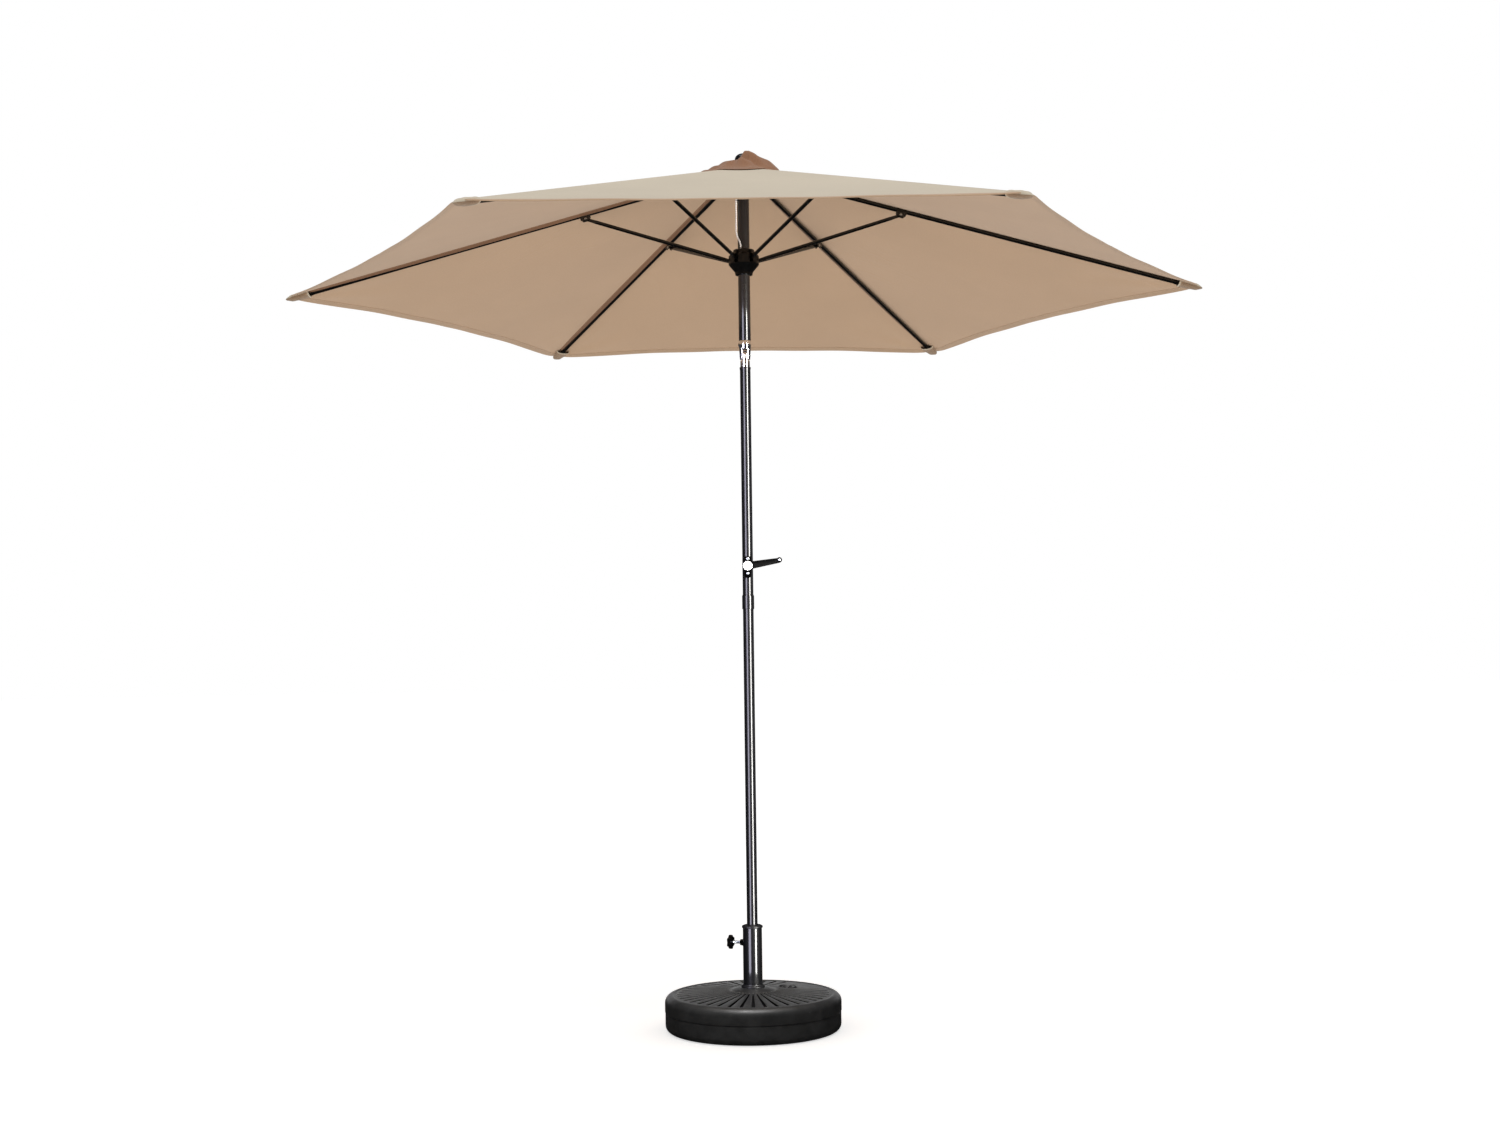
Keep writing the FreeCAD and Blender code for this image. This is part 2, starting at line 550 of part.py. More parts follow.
def strut(number):
    runner_pivot = "rib_pivot_height - 2 * link_length * sin(strut_slope)"
    foot = around(60 * (number - 1)).multiply(at("pivot_radius", 0, runner_pivot,
                                                  Turn(V(0, 1, 0), -value("strut_slope"))))
    along = at(18, turn=SIDEWAYS)
    skin = rod("strut_tube", "link_length - 34", along, "strut_skin")
    core = rod("strut_tube - steel_wall", "link_length - 34", along, "strut_core")
    near = block((-4.5, "-blade_half", -4), (24, "blade_half", 4), "foot_blade")
    far = block(("link_length - 24", "-blade_half", -4), ("link_length + 3.6", "blade_half", 4), "head_blade")
    eye = rod(1.85, 20, at("link_length", 10, 0, FORWARD), "head_eye")
    pin = rod(1.5, 10, at(0, 5, 0, FORWARD), "foot_pin")
    finish(cut(fuse([cut(skin, [core]), near, far, pin]), [eye]), f"strut_{number}", foot)


# --- cloth -------------------------------------------------------------------------------


def cloth_height(x):
    """Height of the cloth's underside over the line of a rib, at a distance from the pole."""
    fall = math.tan(math.radians(value("rib_slope")))
    return value("rib_pivot_height + cloth_lift") - (x - value("pivot_radius")) * fall


def canopy_panel(number):
    """The cloth within 30 degrees of one rib: two flat halves that meet over the rib."""
    tip, hole, gap = value("tip_radius"), value("top_hole"), value("cloth_gap")
    half = math.radians(30)
    side = tip * math.cos(half)
    halves = []
    for hand in (1, -1):
        inner = V(hole, 0, cloth_height(hole))
        outer = V(tip, 0, cloth_height(tip))

        def edge(reach):
            """A point on the line halfway to the next rib, level with the flat panel."""
            x, y = reach * math.cos(half), reach * math.sin(half)
            over_rib = reach / math.cos(half)
            return V(x + gap * math.sin(half), hand * (y - gap * math.cos(half)), cloth_height(over_rib))

        near = edge(hole * math.cos(half))
        far = edge(side - value("scallop"))
        chord = edge(side)
        quarter = (outer + chord) / 2
        pull = (far - chord) * 0.75
        arc = Part.Arc(outer, quarter + pull, far).toShape()
        lines = [Part.LineSegment(a, b).toShape() for a, b in ((far, near), (near, inner), (inner, outer))]
        face = Part.Face(Part.Wire([arc] + lines))
        halves.append(face.extrude(V(0, 0, value("cloth / cos(rib_slope)"))))
    panel = doc.addObject("Part::Feature", f"canopy_panel_{number}")
    panel.Shape = halves[0].fuse(halves[1])
    finish(panel, f"canopy_panel_{number}", around(60 * (number - 1)))


def vent_cap():
    turned("vent_cap", [
        ("vent_hole", "vent_top - 2"), (34, "vent_top"), (70, "vent_top - 6"), ("vent_radius", "vent_edge"),
        ("vent_radius", "vent_edge - 2"), (70, "vent_top - 8"), (34, "vent_top - 2"),
        ("vent_hole", "vent_top - 4"),
    ])


base()
stand_tube()
poles()
crank()
tilt_joint()
hub()
lift_cord()
runner()
for n in range(1, RIBS + 1):
    rib(n)
    strut(n)
    canopy_panel(n)
vent_cap()
doc.recompute()

for thing in doc.Objects:
    if "Invalid" in thing.State or "Error" in thing.State:
        raise RuntimeError(f"{thing.Label} failed: {thing.State}")
for label, thing in parts.items():
    if thing.Shape.isNull() or not thing.Shape.isValid() or not thing.Shape.Solids:
        raise RuntimeError(f"{label} has no valid shape")

os.makedirs("parts", exist_ok=True)
for label, thing in parts.items():
    thing.Shape.exportStep(f"parts/{label}.step")
print(len(parts), "sub-parts written")
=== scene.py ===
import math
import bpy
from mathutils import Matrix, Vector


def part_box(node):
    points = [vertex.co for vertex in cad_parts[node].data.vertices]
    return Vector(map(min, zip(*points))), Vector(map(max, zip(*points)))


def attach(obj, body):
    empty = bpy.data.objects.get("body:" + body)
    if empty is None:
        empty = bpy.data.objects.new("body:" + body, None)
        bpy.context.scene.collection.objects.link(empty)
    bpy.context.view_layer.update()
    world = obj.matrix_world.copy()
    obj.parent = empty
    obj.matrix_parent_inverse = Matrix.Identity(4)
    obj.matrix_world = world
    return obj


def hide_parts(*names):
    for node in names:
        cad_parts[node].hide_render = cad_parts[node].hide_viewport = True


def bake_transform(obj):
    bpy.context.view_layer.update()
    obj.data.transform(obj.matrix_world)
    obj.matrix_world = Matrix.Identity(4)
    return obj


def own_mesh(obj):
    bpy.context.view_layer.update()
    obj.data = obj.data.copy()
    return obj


bl_info = {
    "name": "Patio umbrella with base",
    "version": (1, 0, 0),
    "blender": (4, 5, 0),
    "location": "View3D > Sidebar > Umbrella",
    "description": "Builds the looks of a crank-lift patio umbrella and its filled base "
                   "round a packed CAD frame",
    "category": "Object",
}

from functools import cache

import bmesh
import bpy
import numpy as np
from bpy.props import FloatProperty, FloatVectorProperty, IntProperty, PointerProperty
from mathutils import Matrix

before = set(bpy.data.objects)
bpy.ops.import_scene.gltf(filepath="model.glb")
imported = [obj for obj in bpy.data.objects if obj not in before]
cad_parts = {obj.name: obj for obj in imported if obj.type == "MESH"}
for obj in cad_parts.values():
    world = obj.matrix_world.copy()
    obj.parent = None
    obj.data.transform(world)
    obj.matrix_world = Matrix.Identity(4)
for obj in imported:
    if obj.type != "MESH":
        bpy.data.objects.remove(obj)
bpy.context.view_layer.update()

# Lengths are in millimetres, in the CAD frame: +Z up the pole, -Y the crank side.
MM = 0.001
RIBS = 6
HALF_GORE = math.radians(30)
FORWARD = Matrix.Rotation(math.radians(90), 4, "X")   # local Z along -Y
SIDEWAYS = Matrix.Rotation(math.radians(90), 4, "Y")  # local Z along +X


def corners_of(node):
    """A CAD node's lowest and highest corner, in millimetres."""
    low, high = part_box(node)
    return np.array(low) / MM, np.array(high) / MM


def heights(node):
    """How low and how high a CAD node reaches, in millimetres."""
    low, high = corners_of(node)
    return low[2], high[2]


def radius_of(node):
    """The radius of a CAD node that is round about the pole, in millimetres."""
    return corners_of(node)[1][0]


# --- what the frame says -------------------------------------------------------------------

BASE_RADIUS = radius_of("base_top_shell")
SEAM_HEIGHT = heights("base_bottom_shell")[1]
BOSS_HEIGHT = heights("base_top_shell")[1]
TUBE_RADIUS = radius_of("stand_tube")
TUBE_LOW, TUBE_TOP = heights("stand_tube")
COLLAR_TOP = heights("tube_collar")[1]
COLLAR_RADIUS = radius_of("tube_collar")
FOOT_RADIUS = radius_of("tube_foot")
FOOT_LOW, FOOT_TOP = heights("tube_foot")
POLE_RADIUS = radius_of("lower_pole")
LOWER_POLE = heights("lower_pole")
SLEEVE_LOW, MIDDLE_TOP = heights("middle_pole")
SLEEVE_RADIUS = radius_of("middle_pole")
UPPER_RADIUS = radius_of("upper_pole")
UPPER_POLE = heights("upper_pole")
CRANK_HEIGHT = sum(heights("crank_badge")) / 2
BADGE_RADIUS = corners_of("crank_badge")[1][0]
BADGE_FRONT = -corners_of("crank_badge")[0][1]
HOUSING_LOW, HOUSING_HIGH = heights("crank_housing")
TILT_HEIGHT = sum(heights("tilt_pins")) / 2
BUTTON_HEIGHT = sum(heights("tilt_button")) / 2
RUNNER_LOW, RUNNER_HIGH = heights("runner")
RUNNER_RADIUS = radius_of("runner")
HUB_LOW, HUB_TOP = heights("top_hub")
HUB_RADIUS = radius_of("top_hub")
FINIAL_TOP = heights("finial")[1]
PIVOT_HEIGHT = sum(heights("hub_wire")) / 2
PIVOT_REACH = radius_of("hub_wire") - (heights("hub_wire")[1] - heights("hub_wire")[0]) / 2
PULLEY_HEIGHT = sum(heights("pulley")) / 2
TIP_RADIUS = radius_of("canopy_panel_1")
VENT_RADIUS = radius_of("vent_cap")
VENT_TOP = heights("vent_cap")[1]

# Angles and lengths of the linkage, which the boxes of slanted tubes don't give.
RIB_SLOPE = math.radians(15.4)
STRUT_SLOPE = math.radians(17)
LINK_LENGTH = 406.8
RIB_LENGTH = 1177
RIB_TUBE = 5.5
STRUT_TUBE = 5
CLOTH_LIFT = 6.7
CLOTH = 1.0
VENT_OPENING = 95
SCALLOP = 51
CORNER_CUT = 19
DECK_RISE = 7
DECK_RUN = 108
POLE_WALL = 1.2
TILT_EYE = 12.3
RUNNER_PIVOT = PIVOT_HEIGHT - 2 * LINK_LENGTH * math.sin(STRUT_SLOPE)
FILLER_REACH = 115
FILLER_TURN = math.radians(37)
FILLER_FLOOR = 94
LOCK_TURN = math.radians(160)
LOCK_HEIGHT = 224
PULLEY_TURN = math.radians(205)


# --- sizes and colours that a user would change --------------------------------------------


def linear(code):
    """An sRGB hex colour as linear red, green, blue and alpha."""
    srgb = [int(code[i:i + 2], 16) / 255 for i in (1, 3, 5)]
    return [c / 12.92 if c <= 0.04045 else ((c + 0.055) / 1.055) ** 2.4 for c in srgb] + [1.0]


def colour_property(name, description, code):
    return FloatVectorProperty(name=name, description=description, subtype="COLOR", size=4,
                               min=0, max=1, default=linear(code))


class UmbrellaSizes(bpy.types.PropertyGroup):
    """Sizes of the looks, in metres. The frame fixes everything that moves or fits."""

    sag: FloatProperty(name="Gore sag", description="How far the cloth hangs between two ribs",
                       default=0.009, min=0, max=0.03, unit="LENGTH")
    hem: FloatProperty(name="Hem width", description="Width of the folded hem",
                       default=0.022, min=0.005, max=0.05, unit="LENGTH")
    seam: FloatProperty(name="Seam allowance", description="How far the seam hangs beside a rib",
                        default=0.015, min=0.004, max=0.03, unit="LENGTH")
    cord: FloatProperty(name="Lift cord diameter", description="Diameter of the braided lift cord",
                        default=0.0038, min=0.002, max=0.006, unit="LENGTH")
    groove: FloatProperty(name="Groove depth", description="Depth of the grooves in the base's lid",
                          default=0.0055, min=0, max=0.008, unit="LENGTH")
    grooves: IntProperty(name="Grooves", description="Grooves in a full turn of the base's lid",
                         default=40, min=12, max=60)


class UmbrellaColours(bpy.types.PropertyGroup):
    """Colours of the finishes."""

    # The outer face is the same cloth as the under face, painted paler as painted light on its top side.
    cloth_top_painted_lit: colour_property("Cloth, outer face", "Sun-bleached outer face of the canopy", "#CFC2AC")
    cloth_under: colour_property("Cloth, under face", "Under face of the canopy", "#C9A888")
    # The seams' dark brown is partly the doubled cloth and partly painted shade beside the ribs.
    cloth_seam_and_painted_shade: colour_property("Cloth, seams", "Doubled cloth at the seams", "#8A6549")
    # The vent cap is the canopy's cloth coloured darker brown, as painted shade on its raised, crumpled
    # cloth.
    cloth_vent_painted_shade: colour_property("Cloth, vent cap", "Cloth of the small cap", "#94694C")
    coat: colour_property("Powder coat", "Black coat on the poles, ribs and struts", "#060607")
    base: colour_property("Base plastic", "Black moulded base", "#202020")
    nylon: colour_property("Nylon", "Black moulded fittings", "#0D0D0E")
    cord_light: colour_property("Cord, light strands", "Light strands of the lift cord", "#E9E4DA")
    cord_dark: colour_property("Cord, dark strands", "Dark strands of the lift cord", "#17130F")


# --- shapes: grids of points, in millimetres -----------------------------------------------


def smooth(t):
    """0 below 0, 1 above 1, and 3t^2 - 2t^3 between them."""
    t = np.clip(t, 0, 1)
    return t * t * (3 - 2 * t)


def rounded(corners, radii, steps=5):
    """An open outline whose inner corners are arcs that touch both sides: the arc's centre lies on the
    corner's bisector, and its points turn evenly from the one touching point to the other."""
    corners = [np.array(c, float) for c in corners]
    outline = [corners[0][None]]
    for back, corner, ahead, radius in zip(corners, corners[1:], corners[2:], radii):
        back_side, ahead_side = back - corner, ahead - corner
        long_back, long_ahead = np.linalg.norm(back_side), np.linalg.norm(ahead_side)
        back_side, ahead_side = back_side / long_back, ahead_side / long_ahead
        half = math.acos(np.clip(back_side @ ahead_side, -1, 1)) / 2
        reach = min(radius / math.tan(half), 0.48 * long_back, 0.48 * long_ahead)
        if reach < 1e-6 or half > 1.56:
            outline.append(corner[None])
            continue
        bisector = (back_side + ahead_side) / np.linalg.norm(back_side + ahead_side)
        centre = corner + bisector * reach / math.cos(half)
        start, end = corner + back_side * reach - centre, corner + ahead_side * reach - centre
        turn = math.pi - 2 * half
        t = np.linspace(0, 1, steps + 1)[:, None]
        outline.append(centre + (np.sin((1 - t) * turn) * start + np.sin(t * turn) * end) / math.sin(turn))
    outline.append(corners[-1][None])
    return np.concatenate(outline)


def ring_outline(corners, radii, steps=5):
    """A closed outline with rounded corners, which starts and ends halfway along its first side."""
    start = (np.array(corners[0], float) + np.array(corners[-1], float)) / 2
    return rounded([start, *corners, start], radii, steps)


def moved(points, place):
    """Points carried by a 4 x 4 matrix whose shift is in millimetres."""
    matrix = np.array(place)
    return points @ matrix[:3, :3].T + matrix[:3, 3]


def polar(radius, angle, height):
    """Points at a radius, an angle about Z and a height."""
    radius, angle, height = np.broadcast_arrays(radius, angle, height)
    return np.stack([radius * np.cos(angle), radius * np.sin(angle), height], -1)


def capped(points, low, high):
    """A grid that closes on one point before its first row and one after its last."""
    low, high = (np.broadcast_to(np.asarray(p, float), (1,) + points.shape[1:]) for p in (low, high))
    return np.concatenate([low, points, high])


def turned(outline, place=Matrix(), segments=64):
    """A surface of revolution: each point (radius, height) goes round local Z."""
    outline = np.asarray(outline, float)
    angle = np.linspace(0, 2 * math.pi, segments + 1)
    return moved(polar(outline[:, :1], angle, outline[:, 1:]), place)


def pressed(outline, rows, place=Matrix()):
    """A flat shape with worked edges: the closed outline (x, y) is repeated at each row's (inset, height),
    moved inwards along its own normals, and both ends close on the outline's middle."""
    outline = np.asarray(outline, float)
    along = np.roll(outline, -1, 0) - np.roll(outline, 1, 0)
    along /= np.linalg.norm(along, axis=1)[:, None] + 1e-12
    area = np.sum(outline[:, 0] * np.roll(outline[:, 1], -1) - np.roll(outline[:, 0], -1) * outline[:, 1])
    inwards = np.stack([-along[:, 1], along[:, 0]], 1) * np.sign(area)
    inset = np.array([r[0] for r in rows], float)[:, None, None]
    height = np.array([r[1] for r in rows], float)[:, None, None]
    flat = outline + inset * inwards
    points = np.concatenate([flat, np.broadcast_to(height, flat.shape[:2] + (1,))], -1)
    middle = outline.mean(0)
    points = capped(points, [*middle, rows[0][1]], [*middle, rows[-1][1]])
    return moved(np.concatenate([points, points[:, :1]], 1), place)


def bar(stations, half_widths, half_heights, powers, place=Matrix(), centre=0, columns=32):
    """A bar along local X whose section changes: at each station a superellipse with its own half width,
    half height and power (2 is an ellipse, more is squarer). Its ends close on their middles."""
    angle = np.linspace(0, 2 * math.pi, columns + 1)
    x, a, b, p = (np.broadcast_to(np.asarray(v, float), np.shape(stations))[:, None]
                  for v in (stations, half_widths, half_heights, powers))
    cos, sin = np.cos(angle), np.sin(angle)
    y = a * np.sign(cos) * np.abs(cos) ** (2 / p)
    z = b * np.sign(sin) * np.abs(sin) ** (2 / p) + np.broadcast_to(centre, np.shape(stations))[:, None]
    points = np.stack([x + 0 * y, y, z], -1)
    return moved(capped(points, points[0, :-1].mean(0), points[-1, :-1].mean(0)), place)


def carried(path, section, up=(0, 0, 1)):
    """A section (sideways, upwards) carried along a path: sideways is the path's direction times up."""
    path = np.asarray(path, float)
    along = np.gradient(path, axis=0)
    along /= np.linalg.norm(along, axis=1)[:, None]
    side = np.cross(along, up)
    side /= np.linalg.norm(side, axis=1)[:, None]
    rise = np.cross(side, along)
    section = np.asarray(section, float)
    points = path[:, None] + section[None, :, :1] * side[:, None] + section[None, :, 1:] * rise[:, None]
    return capped(points, path[0], path[-1])


def circle(radius, columns=16):
    """A closed circle as (sideways, upwards) points."""
    angle = np.linspace(0, 2 * math.pi, columns + 1)
    return np.stack([radius * np.cos(angle), radius * np.sin(angle)], 1)


def shell(outer, inner):
    """The patches of a thin closed body: its two faces and the four strips that join their borders."""
    strips = [np.stack([outer[0], inner[0]]), np.stack([outer[-1], inner[-1]]),
              np.stack([outer[:, 0], inner[:, 0]]), np.stack([outer[:, -1], inner[:, -1]])]
    return [outer, inner, *strips]


# --- pieces --------------------------------------------------------------------------------


def grid_faces(rows, columns):
    """Quads that join the neighbours of a grid whose point (i, j) is number i * columns + j."""
    i, j = np.meshgrid(np.arange(rows - 1), np.arange(columns - 1), indexing="ij")
    first = i * columns + j
    return np.stack([first, first + columns, first + columns + 1, first + 1], -1).reshape(-1, 4)


def make_mesh(name, patches, materials, faces_of=None, patterns=None, sharp=38):
    """One mesh from grids of points in millimetres. Borders that meet are merged, faces point outwards,
    and edges sharper than an angle stay sharp. faces_of gives each patch's material, and patterns its
    UV map."""
    points = np.concatenate([p.reshape(-1, 3) for p in patches]) * MM
    counts = [p.shape[0] * p.shape[1] for p in patches]
    starts = np.concatenate([[0], np.cumsum(counts)[:-1]])
    faces = [grid_faces(*p.shape[:2]) + s for p, s in zip(patches, starts)]
    mesh = bpy.data.meshes.new(name)
    mesh.from_pydata(points.tolist(), [], np.concatenate(faces).tolist())
    for material in materials:
        mesh.materials.append(material)
    if faces_of:
        index = np.concatenate([np.full(len(f), m, np.int32) for f, m in zip(faces, faces_of)])
        mesh.polygons.foreach_set("material_index", index)
    if patterns:
        flat = np.concatenate([p.reshape(-1, 2) for p in patterns]).astype(np.float32)
        corner = np.zeros(len(mesh.loops), np.int32)
        mesh.loops.foreach_get("vertex_index", corner)
        mesh.uv_layers.new(name="pattern").data.foreach_set("uv", flat[corner].ravel())
    worked = bmesh.new()
    worked.from_mesh(mesh)
    bmesh.ops.remove_doubles(worked, verts=worked.verts, dist=2e-6)
    bmesh.ops.dissolve_degenerate(worked, dist=1e-7, edges=worked.edges)
    bmesh.ops.recalc_face_normals(worked, faces=worked.faces)
    worked.to_mesh(mesh)
    worked.free()
    mesh.shade_smooth()
    mesh.set_sharp_from_angle(angle=math.radians(sharp))
    return mesh


def add_piece(name, patches, materials, body, slot, stands_for=(), **mesh_settings):
    """A new piece that rides on a CAD body, with the given materials, and may stand for CAD nodes. Its slot
    is not used.
    """
    piece = bpy.data.objects.new(name, make_mesh(name, patches, materials, **mesh_settings))
    bpy.context.scene.collection.objects.link(piece)
    if body:
        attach(piece, body)
    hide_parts(*stands_for)
    return piece


def carve(piece, patches):
    """Takes closed cutting shapes away from a piece, and leaves the result as its plain mesh."""
    cutter = bpy.data.objects.new("cutter", make_mesh("cutter", patches, []))
    bpy.context.scene.collection.objects.link(cutter)
    cut = piece.modifiers.new("cut", "BOOLEAN")
    cut.operation = "DIFFERENCE"
    cut.solver = "EXACT"
    cut.use_self = True
    cut.object = cutter
    bpy.context.view_layer.update()
    worked = piece.evaluated_get(bpy.context.evaluated_depsgraph_get())
    mesh = bpy.data.meshes.new_from_object(worked)
    piece.modifiers.clear()
    piece.data = mesh
    mesh.shade_smooth()
    mesh.set_sharp_from_angle(angle=math.radians(38))
    bpy.data.objects.remove(cutter)


def cutting_block(low, high, place=Matrix()):
    """A closed box between two corners, as one grid that goes round it."""
    (x0, y0, z0), (x1, y1, z1) = low, high
    return pressed([(x0, y0), (x1, y0), (x1, y1), (x0, y1)], [(0, z0), (0, z1)], place)


def around(azimuth):
    """A turn about the pole."""
    return Matrix.Rotation(azimuth, 4, "Z")


def shift(x=0, y=0, z=0):
    return Matrix.Translation((x, y, z))


# --- materials -----------------------------------------------------------------------------


def add_node(tree, kind, inputs=None, **settings):
    """Adds one shader node. Settings are its own properties, and inputs give a socket a value or a link."""
    node = tree.nodes.new("ShaderNode" + kind)
    for name, value in settings.items():
        setattr(node, name, value)
    for key, value in (inputs or {}).items():
        if isinstance(value, bpy.types.NodeSocket):
            tree.links.new(value, node.inputs[key])
        else:
            node.inputs[key].default_value = value
    return node


def maths(tree, operation, *values):
    """One Math node on up to three numbers, each a value or a link."""
    return add_node(tree, "Math", dict(enumerate(values)), operation=operation).outputs[0]


def ramp(tree, value, start, end, low=0, high=1):
    """Turns start to end into low to high, and holds both ends."""
    return add_node(tree, "MapRange", {"Value": value, "From Min": start, "From Max": end,
                                       "To Min": low, "To Max": high}).outputs["Result"]


def mix_colours(tree, factor, low, high):
    """A colour between two, each a value or a link."""
    return add_node(tree, "Mix", {"Factor": factor, 6: low, 7: high}, data_type="RGBA").outputs[2]


def blend_colours(tree, factor, low, high, start=0.35, end=0.65):
    """The nodes that turn a pattern into a colour between two."""
    return mix_colours(tree, ramp(tree, factor, start, end), low, high)


def shade(colour, amount):
    """A colour made lighter or darker by a factor."""
    return [min(1, c * amount) for c in colour[:3]] + [1.0]


def texture_noise(tree, vector, scale, detail, output="Fac", **more):
    """A noise texture along any coordinates."""
    return add_node(tree, "TexNoise", {"Vector": vector, "Scale": scale, "Detail": detail,
                                       **more}).outputs[output]


def object_noise(tree, size, detail=3, roughness=0.5):
    """Noise on Object coordinates whose grains are about that many millimetres wide."""
    place = add_node(tree, "TexCoord").outputs["Object"]
    return texture_noise(tree, place, 1 / (size * MM), detail, Roughness=roughness)


def pattern_map(tree):
    """The UV map that make_mesh fills from its patterns."""
    return add_node(tree, "UVMap", uv_map="pattern").outputs["UV"]


def new_material(name, **sockets):
    """A material with one Principled shader whose sockets have these values."""
    material = bpy.data.materials.new(name)
    material.use_nodes = True
    tree = material.node_tree
    shader = tree.nodes["Principled BSDF"]
    for key, value in sockets.items():
        shader.inputs[key.replace("_", " ")].default_value = value
    return material, tree, shader


def raise_surface(tree, shader, height, depth, strength=1.0):
    """Drives the shader's normal with a bump whose full height is a depth in millimetres."""
    bump = add_node(tree, "Bump", {"Height": height, "Distance": depth * MM, "Strength": strength})
    tree.links.new(bump.outputs["Normal"], shader.inputs["Normal"])


def mottled(name, low, high, mottle, gloss=None, relief=None, span=(0.35, 0.65), **sockets):
    """A material whose colour wanders between two, as the noise mottle does between the ends of span.
    gloss is (noise, smoothest, roughest) and relief is (noise, depth in millimetres). A noise is the
    width of its grains in millimetres, its detail and its roughness."""
    material, tree, shader = new_material(name, **sockets)
    tint = blend_colours(tree, object_noise(tree, *mottle), low, high, *span)
    tree.links.new(tint, shader.inputs["Base Color"])
    if gloss:
        noise, smoothest, roughest = gloss
        rough = ramp(tree, object_noise(tree, *noise), 0, 1, smoothest, roughest)
        tree.links.new(rough, shader.inputs["Roughness"])
    if relief:
        noise, depth = relief
        raise_surface(tree, shader, object_noise(tree, *noise), depth)
    return material


@cache
def powder_coat():
    """Polyester powder coat on drawn steel tube, baked: deep black, glossy, with faint orange peel,
    whose real waves are 1 to 2 mm long."""
    coat = bpy.context.scene.umbrella_colours.coat[:]
    return mottled("black_powder_coat", coat, shade(coat, 1.7), (40,), relief=((1.6, 1), 0.02),
                   Roughness=0.4, IOR=1.5, Specular_IOR_Level=0.15, Coat_Weight=1.0, Coat_Roughness=0.07)


@cache
def moulded_base():
    """Injection-moulded polypropylene with a spark-eroded texture: near black, matt, scuffed pale on top.
    The UV map's first number is 0 on the deck and 1 at a groove's floor. The light doesn't reach into the
    narrow grooves, so painted shade darkens them here, and their edges are painted pale in patches, as a
    painted highlight."""
    base = bpy.context.scene.umbrella_colours.base[:]
    material, tree, shader = new_material("moulded_polypropylene", IOR=1.49)
    tint = blend_colours(tree, object_noise(tree, 35, 6, 0.65), shade(base, 0.62), shade(base, 1.25))
    # Scuffs lie where bent scratches cross small flecks.
    bent = texture_noise(tree, add_node(tree, "TexCoord").outputs["Object"], 22.0, 2.0, "Color")
    stretched = add_node(tree, "Mapping", {"Vector": bent, "Scale": (60, 4, 4)}).outputs["Vector"]
    scratches, flecks = texture_noise(tree, stretched, 1.0, 2.0), object_noise(tree, 3.5, 2, 0.7)
    rare = maths(tree, "MULTIPLY", scratches, flecks)
    tint = mix_colours(tree, ramp(tree, rare, 0.44, 0.55, 0, 0.5), tint, linear("#8C8880"))
    deep = add_node(tree, "SeparateXYZ", {"Vector": pattern_map(tree)}).outputs[0]
    # Painted highlight: the grooves' lips are painted pale in patches, where their rounded edges catch the
    # light.
    pale_lip_highlight = maths(tree, "MULTIPLY", ramp(tree, deep, 0, 0.02), ramp(tree, deep, 0.02, 0.12, 0.8, 0))
    pale_lip_highlight = maths(tree, "MULTIPLY", pale_lip_highlight, object_noise(tree, 14, 4, 0.7))
    tint = mix_colours(tree, pale_lip_highlight, tint, linear("#96928A"))
    # Painted shade: the grooves darken towards their floors, and their reflection is turned down there.
    tint = mix_colours(tree, ramp(tree, deep, 0.06, 0.3, 0, 0.95), tint, linear("#050505"))
    for socket, source in (("Base Color", tint),
                           ("Specular IOR Level", ramp(tree, deep, 0.06, 0.3, 0.5, 0.05)),
                           ("Roughness", ramp(tree, object_noise(tree, 18, 4), 0, 1, 0.36, 0.6))):
        tree.links.new(source, shader.inputs[socket])
    # The mould's grain is about 1.2 mm, drawn at 2 mm so that it shows.
    raise_surface(tree, shader, object_noise(tree, 2.0, 4, 0.6), 0.22, 0.8)
    return material


@cache
def moulded_nylon():
    """Glass-filled nylon, moulded in polished tools: black, satin, with a faint flow mottle."""
    nylon = bpy.context.scene.umbrella_colours.nylon[:]
    return mottled("moulded_nylon", shade(nylon, 0.7), shade(nylon, 1.35), (9, 4), ((6, 3), 0.3, 0.48),
                   ((0.9, 2), 0.03), IOR=1.53, Specular_IOR_Level=0.35)


@cache
def chrome_plate():
    """Bright chromium plate on die-cast zinc: mirror bright, with the faint ripple of polishing."""
    return mottled("chrome_plate", linear("#DADBDD"), linear("#F1F1F2"), (14, 4), ((5, 3), 0.05, 0.14),
                   ((7, 2), 0.06), Metallic=1.0)


@cache
def zinc_plate():
    """Bright zinc plate on turned steel: pale bluish grey, slightly streaked by the turning."""
    return mottled("zinc_plated_steel", linear("#A9AFB4"), linear("#D5DBDE"), (3, 4),
                   ((1.5, 3), 0.22, 0.42), ((0.6, 2), 0.02), Metallic=1.0)


@cache
def sawn_brass():
    """Free-cutting brass, sawn from bar: yellow, dull, with fine saw lines."""
    return mottled("sawn_brass", linear("#9C7A34"), linear("#C9A655"), (2, 3), relief=((0.4, 1), 0.02),
                   Metallic=1.0, Roughness=0.38)


@cache
def spring_steel():
    """Drawn stainless spring wire: grey, with fine drawing lines."""
    return mottled("spring_steel", linear("#7D8083"), linear("#B4B6B8"), (1, 3), Metallic=1.0,
                   Roughness=0.3)


@cache
def wet_sand():
    """Damp builder's sand: brown, dull, with grains of about a millimetre."""
    grain = (1.2, 5, 0.8)
    return mottled("wet_sand", linear("#5C4A35"), linear("#A08A68"), grain, relief=(grain, 0.8),
                   Roughness=0.85, IOR=1.4)


